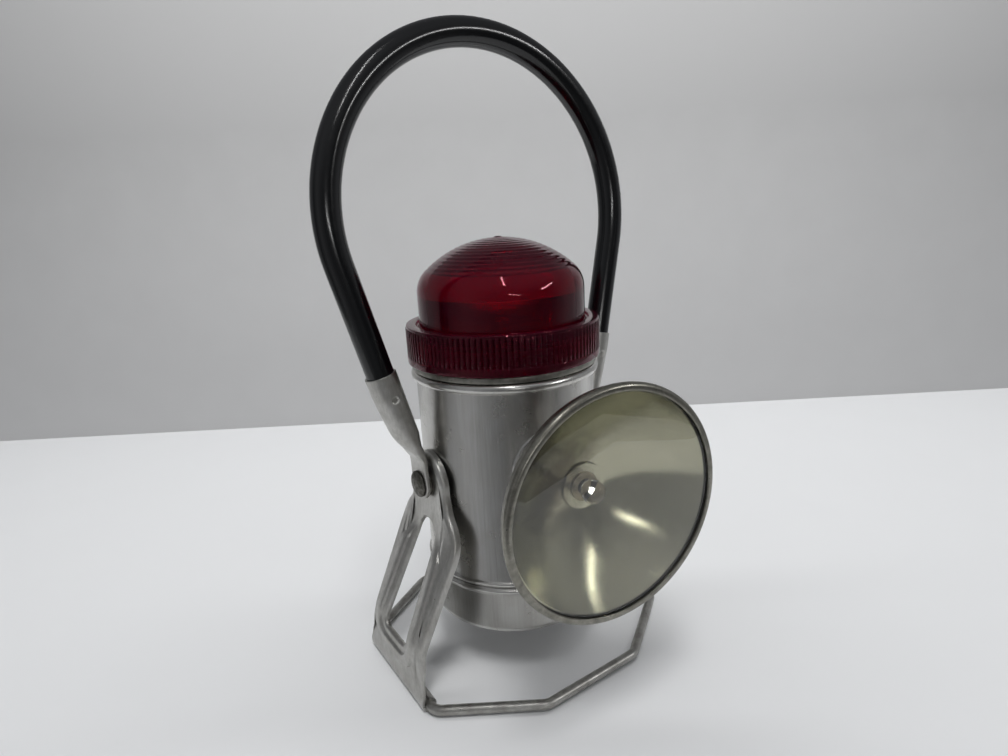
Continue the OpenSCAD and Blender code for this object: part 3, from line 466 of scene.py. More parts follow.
def battery_card():
    """Printed card wrap of the battery."""
    made, tree, place = blank("battery_card")
    finish_solid(tree, place, "#23405c", "#2f5375", (0.4, 0.55), 8, 1.5, 0.1)
    return made


finish = {
    "satin_aluminium": drawn_aluminium(),
    "pressed_aluminium": pressed_aluminium(),
    "wire_steel": bright_wire(),
    "rivet_steel": rivet_steel(),
    "collar_metal": spun_collar(),
    "ruby_plastic": ruby_acrylic(),
    "bezel_metal": worn_bezel(),
    "mirror_metal": silvered_mirror(),
    "clear_glass": pressed_glass(),
    "black_vinyl": black_vinyl(),
    "brass": turned_brass(),
    "fibre_board": fibre_board(),
    "black_rubber": black_rubber(),
    "battery_case": battery_card(),
    "spring_steel": spring_steel(),
    "switch_metal": nickel_plate(),
}
for name, node in nodes.items():
    node.material_slots[0].material = finish[slot_of[name]]

# Pieces


def piece(name, shape, node, crease=38):
    """A mesh piece in place of a CAD node, on that node's body and with its finish."""
    mesh = bpy.data.meshes.new(name)
    mesh.from_pydata([Vector(p) * MM for p in shape[0]], [], shape[1])
    build = bmesh.new()
    build.from_mesh(mesh)
    bmesh.ops.recalc_face_normals(build, faces=build.faces)
    build.to_mesh(mesh)
    build.free()
    mesh.shade_smooth()
    mesh.set_sharp_from_angle(angle=math.radians(crease))
    mesh.materials.append(finish[slot_of[node]])
    made = bpy.data.objects.new(name, mesh)
    bpy.context.scene.collection.objects.link(made)
    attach(made, nodes[node]["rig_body"])
    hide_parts(node)
    return made


# Case


def bead(height, radius, inner=False):
    """Profile points of a bead rolled outwards in the wall, from below to above."""
    lead = radius + 0.5
    reach = case_bore if inner else case_radius
    ball = radius - (case_wall / 2 if inner else 0)
    return [(reach, height - lead), *arc((reach, height), ball, -72, 72, 12), (reach, height + lead)]


joint_bead = 1.3
top_bead = 2.4
low_bead_z = joint_z + seat_gap + case_wall + joint_bead
high_bead_z = tube_top - top_bead - 0.2


def case_tube():
    swage = case_bore - seat_gap
    outer = [
        (swage, tube_foot), (swage, joint_z + seat_gap), (case_radius - 0.3, joint_z + seat_gap),
        (case_radius, joint_z + seat_gap + 0.3),
        *bead(low_bead_z, joint_bead), *bead(high_bead_z, top_bead)[:-1],
        (case_radius + 0.2, tube_top - 0.2), (case_radius - 0.2, tube_top),
    ]
    inner = [
        (case_bore, tube_top), *reversed(bead(high_bead_z, top_bead, inner=True)),
        *reversed(bead(low_bead_z, joint_bead, inner=True)),
        (case_bore, joint_z + seat_gap + case_wall), (swage - case_wall, joint_z + seat_gap),
        (swage - case_wall, tube_foot),
    ]
    return piece("drawn_case_tube", turned(outer + inner), "case_tube")


def bottom_cup():
    corner = 4.0
    step = 1.2
    step_reach = case_radius - 2 * corner
    rim_bead = joint_z - joint_bead - 0.5
    outer = [
        (0, cup_foot + step), *rounded([
            (0, cup_foot + step, 0), (step_reach - 2 * step, cup_foot + step, 1.0),
            (step_reach, cup_foot, 1.0), (case_radius, cup_foot, corner),
            (case_radius, rim_bead - joint_bead - 1, 0)], closed=False, steps=8)[1:],
        *bead(rim_bead, joint_bead)[1:-1],
        (case_radius + 0.1, joint_z),
    ]
    inner = [
        (case_bore, joint_z), (case_bore, cup_foot + corner),
        *arc((case_radius - corner, cup_foot + corner), corner - case_wall, 0, -90),
        (step_reach, cup_foot + case_wall), (step_reach - 2 * step, cup_foot + case_wall + step),
        (0, cup_foot + case_wall + step),
    ]
    return piece("drawn_bottom_cup", turned(outer + inner, closed=False), "bottom_cup")


case_tube()
bottom_cup()

# Collar

collar_foot = tube_top + seat_gap
flange_top = collar_foot + 3.05
neck_top = high("neck_collar").z


def neck_collar():
    spigot = case_bore - seat_gap
    ledge = spigot - 3
    bore = spigot - 1.2
    foot = low("neck_collar").z
    proud = case_radius + 1.6
    profile = rounded([
        (ledge, foot, 0), (spigot, foot, 0.3), (spigot, collar_foot, 0), (proud, collar_foot, 0.7),
        (proud, flange_top, 0.7), (case_radius - 0.9, flange_top, 0), (case_radius - 0.9, neck_top, 0.4),
        (case_radius - 1.8, neck_top, 0), (case_radius - 1.8, tube_top, 0), (bore, tube_top - 2, 0),
        (bore, foot + 1.4, 0), (ledge, foot + 1.4, 0)])
    pitch = 4.0
    turns = 2.0
    steps = 200
    rings = []
    for i in range(steps + 1):
        t = i / steps
        angle = 2 * math.pi * turns * t
        middle = flange_top + 1.6 + pitch * turns * t
        crest = 0.85 * min(1, 12 * t, 12 * (1 - t))
        way = Vector((math.cos(angle), math.sin(angle), 0))
        section = [(-0.4, -1.1), (crest, -0.3), (crest, 0.3), (-0.4, 1.1)]
        rings.append([way * (case_radius - 0.9 + out) + Vector((0, 0, middle + up)) for out, up in section])
    return piece("spun_neck_collar", joined(turned(profile), skinned(rings)), "neck_collar", crease=30)


neck_collar()

# Dome lens

ring_radius = 49.5
ring_height = 19.1
dome_radius = 42.2
dome_wall = 2.6
lens_rim = lens_foot + ring_height
knurl_count = 112
knurl_depth = 0.9


def knurl(angle):
    """Depth that the knurl cuts away at an angle: round ribs with narrow grooves between them."""
    across = (knurl_count * angle / math.pi) % 2 - 1
    return knurl_depth * abs(across) ** 2.6


def dome_lens():
    shoulder = 15.0
    crown = 55.0
    plain_band = 4.0
    plain_lip = 1.4
    moat = 2.0
    shoulder_z = lens_rim + 14.8
    shoulder_reach = dome_radius - shoulder
    crown_angle = math.degrees(math.acos(shoulder_reach / (crown - shoulder)))
    crown_z = shoulder_z - (crown - shoulder) * math.sin(math.radians(crown_angle))
    seat = high("lens_gasket").z + seat_gap
    bore = case_radius + 0.3
    band_top = lens_foot + plain_band
    lip_foot = lens_rim - plain_lip
    lip_radius = ring_radius - 0.4
    rib = ring_radius - 0.05
    ring = [
        (bore, lens_foot), *arc((ring_radius - 0.7, lens_foot + 0.7), 0.7, -90, 0, 4),
        (ring_radius, band_top - 0.5), (ring_radius - 0.15, band_top - 0.2),
        (rib - 0.1, band_top, 0.9), (rib, band_top + 0.4, 1), (rib, lip_foot - 0.3, 1),
        (rib - 0.1, lip_foot, 0.9), (lip_radius, lip_foot + 0.2),
        *arc((lip_radius - 0.6, lens_rim - 0.6), 0.6, 0, 90, 4),
        *rounded([(dome_radius + 4, lens_rim, 0), (dome_radius + moat, lens_rim, 0.5),
                  (dome_radius + moat - 0.3, lens_rim - moat, 0.8), (dome_radius, lens_rim - moat, 0.8),
                  (dome_radius, lens_rim + 2, 0)], closed=False, steps=4)[1:],
    ]
    wave_count = 14
    wave_steps = 8
    wave_depth = 0.06
    crown_end = 87.6
    crown_line = []
    for i in range(1, wave_steps * wave_count + 1):
        way = math.radians(crown_angle + (crown_end - crown_angle) * i / (wave_steps * wave_count))
        reach = crown - wave_depth + wave_depth * math.cos(2 * math.pi * i / wave_steps)
        crown_line.append((reach * math.cos(way), crown_z + reach * math.sin(way)))
    outer = [
        *arc((shoulder_reach, shoulder_z), shoulder, 0, crown_angle, 16),
        *crown_line,
        (1.9, crown_z + crown), (1.6, dome_top - 0.1), (0.9, dome_top), (0, dome_top),
    ]
    prism_count = 12
    prism_depth = 0.6
    inside_crown = crown - dome_wall
    prism_root = inside_crown + prism_depth
    step = (90 - crown_angle) / prism_count
    crown_rings = []
    for i in range(prism_count):
        low_way = math.radians(crown_angle + i * step)
        high_way = math.radians(crown_angle + (i + 1) * step)
        crown_rings.append((prism_root * math.cos(low_way), crown_z + prism_root * math.sin(low_way)))
        crown_rings.append((max(0, inside_crown * math.cos(high_way)),
                            crown_z + inside_crown * math.sin(high_way)))
    crown_rings[-1] = (0, crown_rings[-1][1])
    wall_rings = 14
    wall_height = 13.0
    groove_depth = 0.22
    groove_rise = 0.75
    inside = dome_radius - dome_wall
    wall_line = []
    for i in range(wall_rings):
        z = lens_rim + 1 + wall_height * i / wall_rings
        wall_line.append((inside, z))
        wall_line.append((inside + groove_depth, z + groove_rise))
    inner = [
        (bore, seat), (inside, seat), *wall_line,
        *arc((shoulder_reach, shoulder_z), shoulder - dome_wall, 0, crown_angle, 12), *crown_rings]
    profile = ring + outer + inner[::-1]
    return piece("moulded_dome_lens", turned(profile, 672, flute=knurl), "dome_lens", crease=22)


dome_lens()

# Spotlight

spot_focus = 24.0
bezel_sheet = 1.0
bezel_lip = 1.0
bezel_bead = 1.4
bezel_hem = 0.6
lens_edge = 1.6
gasket_sheet = 0.6
mirror_sheet = 0.7
bowl_gap = 0.8
bowl_sheet = 0.9
lens_front = spot_front - bezel_sheet - seat_gap
lens_back = lens_front - lens_edge
mirror_rim = lens_back - gasket_sheet - 2 * seat_gap
bezel_inner = spot_radius - bezel_bead - bezel_sheet
spot_inner = bezel_inner - seat_gap
lip_reach = bezel_inner - bezel_lip
mirror_radius = lip_reach - 0.8
lamp_hole = 9.05
neck_radius = lamp_hole + 3
bowl_foot = neck_radius + 2
bowl_rim = mirror_radius + 0.4
bowl_depth = mirror_sheet + bowl_gap + bowl_sheet


def mirror_at(radius):
    """Distance of the reflector's face from the case axis."""
    return mirror_rim - (mirror_radius ** 2 - radius ** 2) / (4 * spot_focus)


def spot_bezel():
    """Rolled rim: a round bead, a thin lip over the glass and a skirt with a hem under the bowl."""
    back = mirror_at(bowl_rim) - bowl_depth - seat_gap - bezel_hem
    shoulder = 2.0
    lip = bezel_sheet / 2
    curl = 0.75
    profile = [
        *arc((bezel_inner + bezel_sheet - curl, back + 0.2), curl, 0, -180, 12),
        (bezel_inner, back + curl), (bezel_inner, spot_front - bezel_sheet - 0.1),
        (bezel_inner - 0.1, spot_front - bezel_sheet),
        *arc((lip_reach + lip, spot_front - lip), lip, 270, 90, 8),
        *arc((spot_radius - shoulder, spot_front - shoulder), shoulder, 90, -20, 16),
    ]
    return piece("rolled_spot_bezel", moved(turned(profile, 224), to_spot), "spot_bezel", crease=30)


def spot_lens():
    edge = spot_inner - 0.2
    crown = 0.8
    crown_edge = lip_reach - 0.3
    ball = (crown_edge ** 2 + crown ** 2) / (2 * crown)
    face = [(edge, lens_back + 0.2), (edge, lens_front - 0.2), (edge - 0.2, lens_front)]
    for i in range(13):
        radius = crown_edge * (12 - i) / 12
        face.append((radius, lens_front + crown - ball + math.sqrt(ball ** 2 - radius ** 2)))
    profile = [(0, lens_back), (edge - 0.2, lens_back), *face]
    return piece("pressed_spot_lens", moved(turned(profile, 192, closed=False), to_spot), "spot_lens")


def spot_gasket():
    """Narrow ring that keeps under the bezel's lip."""
    rim = spot_inner - 0.3
    profile = rounded([(rim - 0.6, mirror_rim + seat_gap, 0.1), (rim, mirror_rim + seat_gap, 0.1),
                       (rim, lens_back - seat_gap, 0.1), (rim - 0.6, lens_back - seat_gap, 0.1)], steps=2)
    return piece("cut_spot_gasket", moved(turned(profile, 160), to_spot), "spot_gasket")


def spot_reflector():
    steps = 40
    line = []
    for i in range(steps + 1):
        radius = lamp_hole + (mirror_radius - lamp_hole) * i / steps
        line.append((radius, mirror_at(radius)))
    line.append((spot_inner - 0.2, mirror_rim))
    profile = line + [(r, z - mirror_sheet) for r, z in reversed(line)]
    return piece("spun_spot_reflector", moved(turned(profile, 224), to_spot), "spot_reflector", crease=25)


def spot_housing():
    steps = 30
    foot = mirror_at(bowl_foot) - bowl_depth
    line = [(neck_radius + seat_gap, foot), (bowl_foot - 0.6, foot)]
    for i in range(steps + 1):
        radius = bowl_foot + (bowl_rim - bowl_foot) * i / steps
        line.append((radius, mirror_at(radius) - bowl_depth))
    line.append((spot_inner, mirror_at(bowl_rim) - bowl_depth))
    profile = line + [(r, z + bowl_sheet) for r, z in reversed(line)]
    return piece("spun_spot_housing", moved(turned(profile, 192), to_spot), "spot_housing", crease=25)


def spot_neck():
    """Saddle on the case, waisted neck and a flange under the bowl, with a threaded stub inside."""
    steps = 96
    flange = bowl_foot + 1
    front = mirror_at(bowl_foot) - bowl_depth - seat_gap
    tip = mirror_at(lamp_hole) - mirror_sheet - 0.3
    socket_end = tip - 13.1
    stub = neck_radius - 2
    stub_bore = stub - 3
    stub_end = case_bore - 7

    def on_case(radius, lift):
        ring = []
        for k in range(steps):
            angle = 2 * math.pi * k / steps
            x = radius * math.cos(angle)
            y = -math.sqrt((case_radius + lift) ** 2 - x ** 2)
            ring.append((x, y, spot_z + radius * math.sin(angle)))
        return ring

    def across(radius, reach):
        angles = [2 * math.pi * k / steps for k in range(steps)]
        return [(radius * math.cos(a), -reach, spot_z + radius * math.sin(a)) for a in angles]

    rings = [
        on_case(stub, seat_gap), on_case(20, seat_gap), on_case(20, 1.0), on_case(19.8, 1.3),
        on_case(19.5, 1.4), on_case(neck_radius + 2.2, 1.4), on_case(neck_radius + 1, 1.7),
        on_case(neck_radius + 0.3, 2.4), on_case(neck_radius, 3.4), across(neck_radius, front - 4),
        across(neck_radius + 0.3, front - 3), across(neck_radius + 1, front - 2.2),
        across(flange - 0.4, front - 1.6), across(flange, front - 1.2), across(flange, front - 0.2),
        across(flange - 0.2, front), across(neck_radius, front), across(neck_radius, tip),
        across(lamp_hole, tip), across(lamp_hole, socket_end), across(stub_bore, socket_end),
        across(stub_bore, stub_end), across(stub, stub_end)]
    return piece("cast_spot_neck", moved(skinned(rings, closed=True), spot_way), "spot_neck", crease=34)


spot_bezel()
spot_lens()
spot_gasket()
spot_reflector()
spot_housing()
spot_neck()

# Legs and base wire

wire_radius = 2.4
leg_sheet = 1.2
hem_bore = wire_radius + seat_gap
hem_radius = hem_bore + leg_sheet
hem_half = high("right_leg").y
ear_out = 50.6
hem_out = hem_reach + hem_radius
skirt_out = hem_out - 0.9
skirt_height = 27.0
shoulder_z = pivot_z - 31
window_foot = 24.5


def leg_outline():
    """Side view of a leg from the hem's front corner round over the ear, as points (y, z)."""
    ear_radius = 15.5
    neck_round = 18.0
    shoulder_round = 22.0
    foot_half = 26.5
    ear = Vector((0, pivot_z))
    shoulder = Vector((28 - shoulder_round, shoulder_z))
    span = shoulder - ear
    near = ear_radius + neck_round
    far = shoulder_round + neck_round
    along = (near ** 2 - far ** 2 + span.length_squared) / (2 * span.length)
    aside = math.sqrt(near ** 2 - along ** 2)
    unit = span.normalized()
    hollow = ear + along * unit + aside * Vector((-unit.y, unit.x))
    ear_angle = math.degrees(math.atan2(hollow.y - pivot_z, hollow.x))
    shoulder_angle = math.degrees(math.atan2(hollow.y - shoulder.y, hollow.x - shoulder.x))
    half = [
        (hem_half, wire_z), (hem_half, 8.0), (foot_half, skirt_height),
        *arc(shoulder, shoulder_round, 0, shoulder_angle, 16),
        *arc(hollow, neck_round, shoulder_angle + 180, ear_angle + 180, 12),
        *arc(ear, ear_radius, ear_angle, 90, 16)]
    return half + [(-y, z) for y, z in reversed(half[:-1])]


def leg_window():
    """Outline of the window in a leg, as points (y, z)."""
    arch = 9.0
    corner = 4.0
    top = pivot_z - 20
    half = 12.0
    slope = math.degrees(math.atan2(half - arch, top - arch - window_foot))
    right = [*arc((half - corner, window_foot + corner), corner, -90, slope, 10),
             *arc((0, top - arch), arch, slope, 90, 12)]
    return right + [(-y, z) for y, z in reversed(right[:-1])]


def ray_points(outline, middle, angles):
    """Where rays from a middle cross a closed outline."""
    found = []
    for angle in angles:
        way = Vector((math.cos(angle), math.sin(angle)))
        best = None
        for a, b in zip(outline, outline[1:] + outline[:1]):
            start = Vector(a) - middle
            edge = Vector(b) - Vector(a)
            cross = way.x * edge.y - way.y * edge.x
            if abs(cross) < 1e-9:
                continue
            reach = (start.x * edge.y - start.y * edge.x) / cross
            share = (start.x * way.y - start.y * way.x) / cross
            if reach > 0 and -1e-6 <= share <= 1 + 1e-6:
                best = reach if best is None else max(best, reach)
        found.append(middle + way * best)
    return found


def outward(points, i):
    """Normal of a closed counter-clockwise line of points, at one of them."""
    along = points[(i + 1) % len(points)] - points[i - 1]
    return Vector((along.y, -along.x)).normalized()


strip_line = rounded([
    (ear_out, pivot_z + 30, 0), (ear_out, pivot_z - 9, 14), (ear_out + 2, pivot_z - 25, 34),
    (skirt_out, skirt_height, 30),
    (skirt_out, 8.5, 1.5), (hem_out, 5.5, 1.5), (hem_out, -10, 0)], closed=False, steps=10)


def on_strip(y, z, depth):
    """Point of a leg at a side-view place, sunk by a depth behind its outer face."""
    for (x0, z0), (x1, z1) in zip(strip_line, strip_line[1:]):
        if z0 >= z >= z1:
            break
    share = (z0 - z) / (z0 - z1)
    along = Vector((x1 - x0, z1 - z0)).normalized()
    inward = Vector((along.y, -along.x))
    return (x0 + (x1 - x0) * share + depth * inward.x, y, z + depth * inward.y)


def leg_shape():
    """Pressed panel of the right leg: rolled edge, flanged window and a raised band round it."""
    rays = 480
    middle = Vector((0, 52))
    angles = [2 * math.pi * (k + 0.5) / rays for k in range(rays)]
    rim = ray_points(leg_outline(), middle, angles)
    window = ray_points(leg_window(), middle, angles)
    roll = 2.6
    edge_depth = 4.5
    window_roll = 1.7
    window_depth = 2.6
    band_near = 4.0
    band_far = 10.0
    band_height = 1.5
    band_end = (66, 76)
    ramp = 0.6
    near_edge = [(window_roll - window_roll * math.sin(math.radians(90 - a)),
                  window_roll - window_roll * math.cos(math.radians(90 - a))) for a in range(0, 91, 15)]
    spread = [start + ramp * share for start in (band_near, band_far) for share in (-1, -0.5, 0, 0.5, 1)]
    far_edge = [(roll - roll * math.sin(math.radians(a)), roll - roll * math.cos(math.radians(a)))
                for a in range(0, 91, 15)]

    def sheet_back(reach, depth, bend):
        """Place on the back of the sheet for a place on the front of a rolled edge."""
        share = (bend - leg_sheet) / bend
        return bend - (bend - reach) * share, bend - (bend - depth) * share

    columns = []
    for i in range(rays):
        ray = (rim[i] - middle).normalized()
        out = outward(rim, i).lerp(ray, 1 - smooth(rim[i].y, 8, 20)).normalized()
        rolled = smooth(rim[i].y, 8, 24)
        grow = outward(window, i)
        room = (rim[i] - out * roll - window[i]).dot(grow)
        squeeze = min(1, room / (band_far + ramp + 0.8))
        front = []
        rear = []
        for reach, depth in [(0.0, window_depth), *near_edge]:
            place = window[i] + grow * reach
            front.append(on_strip(place.x, place.y, depth))
            if depth > window_roll:
                reach = leg_sheet
            else:
                reach, depth = sheet_back(reach, depth, window_roll)
            place = window[i] + grow * reach
            rear.append(on_strip(place.x, place.y, depth))
        for reach in spread:
            place = window[i] + grow * reach * squeeze
            rise = smooth(reach, band_near - ramp, band_near + ramp)
            fall = 1 - smooth(reach, band_far - ramp, band_far + ramp)
            lift = band_height * rise * fall * (1 - smooth(place.y, *band_end))
            front.append(on_strip(place.x, place.y, -lift))
            rear.append(on_strip(place.x, place.y, leg_sheet - lift))
        for reach, depth in [*far_edge, (0.0, edge_depth)]:
            place = rim[i] - out * reach
            front.append(on_strip(place.x, place.y, depth * rolled))
            back_reach, back_depth = (leg_sheet, depth) if depth > roll else sheet_back(reach, depth, roll)
            place = rim[i] - out * (reach + (back_reach - reach) * rolled)
            rear.append(on_strip(place.x, place.y, leg_sheet + (back_depth - leg_sheet) * rolled))
        columns.append(front + rear[::-1])
    return skinned([list(row) for row in zip(*columns)], closed=True)


def hem_shape():
    """Curl of the leg's foot under and round the wire, with its free edge inside."""
    outer = [(x, max(z, 0)) for x, z in arc((hem_reach, wire_z), hem_radius, 0, -268, 44)]
    inner = arc((hem_reach, wire_z), hem_bore, -268, 0, 40)
    section = outer + inner
    lip = 0.3
    places = (-hem_half, -hem_half + lip, hem_half - lip, hem_half)
    return skinned([[(x, y, z) for x, z in section] for y in places])


piece("pressed_right_leg", leg_shape(), "right_leg", crease=42)
piece("pressed_left_leg", mirrored(leg_shape()), "left_leg", crease=42)
piece("curled_right_hem", hem_shape(), "right_leg", crease=42)
piece("curled_left_hem", mirrored(hem_shape()), "left_leg", crease=42)


def base_wire():
    depth = -low("base_wire").y - wire_radius
    front_half = 28.6
    bend = 8.0
    side_half = hem_half + 4.6
    corners = [
        (hem_reach, -side_half), (hem_reach, side_half), (front_half, depth), (-front_half, depth),
        (-hem_reach, side_half), (-hem_reach, -side_half), (-front_half, -depth), (front_half, -depth)]
    line = rounded([(x, y, bend) for x, y in corners], steps=12)
    return piece("bent_base_wire", swept([(x, y, wire_z) for x, y in line], (0, 0, 1), wire_radius, 24,
                                         closed=True), "base_wire", crease=60)


base_wire()

# Pivots


def both_pivots(shape):
    """A shape along the right pivot, and its mirror image on the left."""
    right = moved(shape, to_pivot)
    return joined(right, mirrored(right))


def pivot_rivets():
    head = high("pivot_rivets").x
    reach = 6.75
    dome = 2.6
    shank = 3.2
    foot = head - dome
    upset = 5.5
    inner = math.sqrt(case_bore ** 2 - upset ** 2) - seat_gap
    profile = [
        (0, inner - 1.3), (upset - 0.2, inner - 1.3), (upset, inner - 1.1), (upset, inner),
        (shank, inner), (shank, foot), (reach - 0.2, foot), (reach, foot + 0.2),
        (reach - 0.05, foot + 0.75), (reach - 0.7, foot + 1.35), (reach - 2.2, foot + 1.95),
        (reach - 4, foot + 2.4), (reach - 5.6, head - 0.05), (0, head)]
    return piece("headed_pivot_rivets", both_pivots(turned(profile, 64, closed=False)), "pivot_rivets")


def pivot_washers():
    near = ear_out + seat_gap
    far = near + 1.35
    profile = rounded([(3.25, near, 0.15), (6.75, near, 0.3), (6.75, far, 0.3), (3.25, far, 0.15)], steps=3)
    return piece("stamped_pivot_washers", both_pivots(turned(profile, 64)), "pivot_washers")


pivot_rivets()
pivot_washers()

# Bail

bail_lean = 3.2
bail_radius = 82.5
bail_rise = 128.6
handle_radius = 6.65
ferrule_radius = 7.55
ferrule_length = 60.0
handle_start = 42.0
tab_in = 52.3
tab_sheet = 2.2
tab_middle = tab_in + tab_sheet / 2
tab_radius = 8.0
tab_top = 12.5
fold_end = 27.0
fold_rise = 10.4
round_start = 50.0
bail_splay = math.asin(bail_radius / math.hypot(tab_middle, bail_rise)) - math.atan2(tab_middle, bail_rise)
to_bail = Matrix.Translation((0, 0, pivot_z)) @ Matrix.Rotation(-math.radians(bail_lean), 4, "X")
leg_way = Vector((math.sin(bail_splay), 0, math.cos(bail_splay)))


def bail_point(distance):
    """Point on the straight right leg of the bail, this far from the pivot."""
    return Vector((tab_middle, 0, 0)) + leg_way * distance


def handle_tube():
    splay = math.degrees(bail_splay)
    bow = [Vector((x, 0, z)) for x, z in arc((0, bail_rise), bail_radius, -splay, 180 + splay, 120)]
    start = bail_point(handle_start + seat_gap)
    straight = [start.lerp(bow[0], i / 12) for i in range(12)]
    path = straight + bow + [Vector((-p.x, 0, p.z)) for p in reversed(straight)]
    return piece("extruded_handle_tube", moved(swept(path, (0, 1, 0), handle_radius, 48), to_bail),
                 "handle_tube", crease=60)


tab_out = tab_in + tab_sheet
ferrule_past = ferrule_length + 9
ferrule_back = rounded([
    (tab_out, -20, 0), (tab_out, tab_top, 4), (tab_out + fold_rise, fold_end, 40),
    (bail_point(round_start).x + ferrule_radius, round_start, 90),
    (bail_point(ferrule_past).x + ferrule_radius, ferrule_past, 0)], closed=False, steps=8)


def ferrule_faces(distance):
    """Inner and outer face of the ferrule, this far from the pivot: it thins, then folds to the tab."""
    for (x0, z0), (x1, z1) in zip(ferrule_back, ferrule_back[1:]):
        if z0 <= distance <= z1:
            break
    inner = max(tab_in, bail_point(distance).x - ferrule_radius)
    return inner, x0 + (x1 - x0) * (distance - z0) / (z1 - z0)


def ferrule_shape():
    """Tube end that goes from a round socket to a flat tab with a round end."""
    sides = 72
    dent_at = 47.8
    dent_reach = 1.9
    dent_depth = 1.7
    rings = []
    mouth_edge = 0.3
    stations = [-tab_radius * math.cos(math.radians(a)) for a in range(4, 90, 7)]
    stations += [tab_top * i / 5 for i in range(6)]
    stations += [tab_top + (fold_end - tab_top) * i / 24 for i in range(1, 25)]
    stations += [fold_end + (ferrule_length - mouth_edge - fold_end) * i / 70 for i in range(1, 71)]
    for distance in stations:
        swell = smooth(distance, tab_top - 2, fold_end + 8)
        half = math.sqrt(tab_radius ** 2 - distance ** 2) if distance < 0 else tab_radius
        half += (ferrule_radius - half) * swell
        inner, outer = ferrule_faces(distance)
        thick = (outer - inner) / 2
        power = 2 + 5 * (1 - smooth(distance, tab_top - 1, tab_top + 9))
        height = distance + (bail_point(distance).z - distance) * swell
        middle = Vector(((inner + outer) / 2, 0, height))
        side = Vector((1, 0, 0)).lerp(Vector((leg_way.z, 0, -leg_way.x)), swell).normalized()
        ring = []
        for k in range(sides):
            angle = 2 * math.pi * k / sides
            c = math.cos(angle)
            s = math.sin(angle)
            size = (abs(c) ** power + abs(s) ** power) ** (-1 / power)
            out = side * thick * size * c + Vector((0, half * size * s, 0))
            from_dent = math.hypot(distance - dent_at, ferrule_radius * math.atan2(c, -s))
            dent = dent_depth * (1 - smooth(from_dent, 0.5, dent_reach))
            ring.append(middle + out * (1 - dent / max(out.length, 1)))
        rings.append(ring)
    bore = handle_radius + 0.06
    mouth = [(ferrule_length, ferrule_radius - mouth_edge), (ferrule_length, handle_radius + mouth_edge),
             (ferrule_length - 0.25, bore), (handle_start, bore)]
    side = Vector((leg_way.z, 0, -leg_way.x))
    angles = [2 * math.pi * k / sides for k in range(sides)]
    for distance, radius in mouth:
        rings.append([bail_point(distance) + radius * (math.cos(a) * side + Vector((0, math.sin(a), 0)))
                      for a in angles])
    return moved(skinned(rings), to_bail)


handle_tube()
piece("crimped_right_ferrule", ferrule_shape(), "right_ferrule", crease=40)
piece("crimped_left_ferrule", mirrored(ferrule_shape()), "left_ferrule", crease=40)

# Camera at the photograph's viewing angle

azimuth = math.radians(-33.52)
elevation = math.radians(15.19)
roll = math.radians(-3.02)
eye_distance = 325.57
aim_aside = -0.6
aim_height = 146.69
image_width = 1008
focal_pixels = 617.8
sensor = 36.0

to_eye = Vector((math.sin(azimuth) * math.cos(elevation), -math.cos(azimuth) * math.cos(elevation),
                 math.sin(elevation)))
level_right = Vector((math.cos(azimuth), math.sin(azimuth), 0))
level_up = to_eye.cross(level_right)
image_right = level_right * math.cos(roll) + level_up * math.sin(roll)
image_up = level_up * math.cos(roll) - level_right * math.sin(roll)
aim = level_right * aim_aside + Vector((0, 0, aim_height))
eye = (aim + to_eye * eye_distance) * MM

lens = bpy.data.cameras.new("photo_camera")
lens.sensor_width = sensor
lens.lens = sensor * focal_pixels / image_width
lens.clip_start = 0.01
lens.clip_end = 50
camera = bpy.data.objects.new("photo_camera", lens)
bpy.context.scene.collection.objects.link(camera)
turn = Matrix((image_right, image_up, to_eye)).transposed().to_4x4()
camera.matrix_world = Matrix.Translation(eye) @ turn
bpy.context.scene.camera = camera

# Stage: a pale table and wall, and soft studio light


def stage_cloth(name, colour, shade, fade):
    """Matt pale cover, faintly uneven, that goes from one tone to the other over a height in metres:
    painted shade, darker towards the top.
    """
    made, tree, place = blank(name)
    folds = add(tree, "ShaderNodeTexNoise", {"Vector": place, "Scale": per_mm(60), "Detail": 4.0})
    parts = add(tree, "ShaderNodeSeparateXYZ", {"Vector": place})
    # Painted shade: the cover turns to the darker tone higher up.
    height = add(tree, "ShaderNodeMapRange",
                 {"Value": parts.outputs["Z"], "From Min": fade[0], "From Max": fade[1]})
    uneven = add(tree, "ShaderNodeMath", {0: folds.outputs["Fac"], 1: 0.1, 2: height.outputs[0]},
                 operation="MULTIPLY_ADD")
    tone = add(tree, "ShaderNodeMix",
               {"Factor": uneven.outputs[0], 6: linear(colour), 7: linear(shade)}, data_type="RGBA")
    shader = add(tree, "ShaderNodeBsdfPrincipled", {"Base Color": tone.outputs[2], "Roughness": 0.9})
    add(tree, "ShaderNodeOutputMaterial", {"Surface": shader.outputs[0]})
    return made


def stage_sheet(name, corners, material):
    mesh = bpy.data.meshes.new(name)
    mesh.from_pydata(corners, [], [(0, 1, 2, 3)])
    mesh.materials.append(material)
    made = bpy.data.objects.new(name, mesh)
    bpy.context.scene.collection.objects.link(made)
    return made


def behind(aside, away, height):
    """Stage place in metres: aside and away from the camera as seen from the lantern, and its height."""
    level = Vector((-to_eye.x, -to_eye.y, 0)).normalized()
    return level_right * aside + level * away + Vector((0, 0, height))


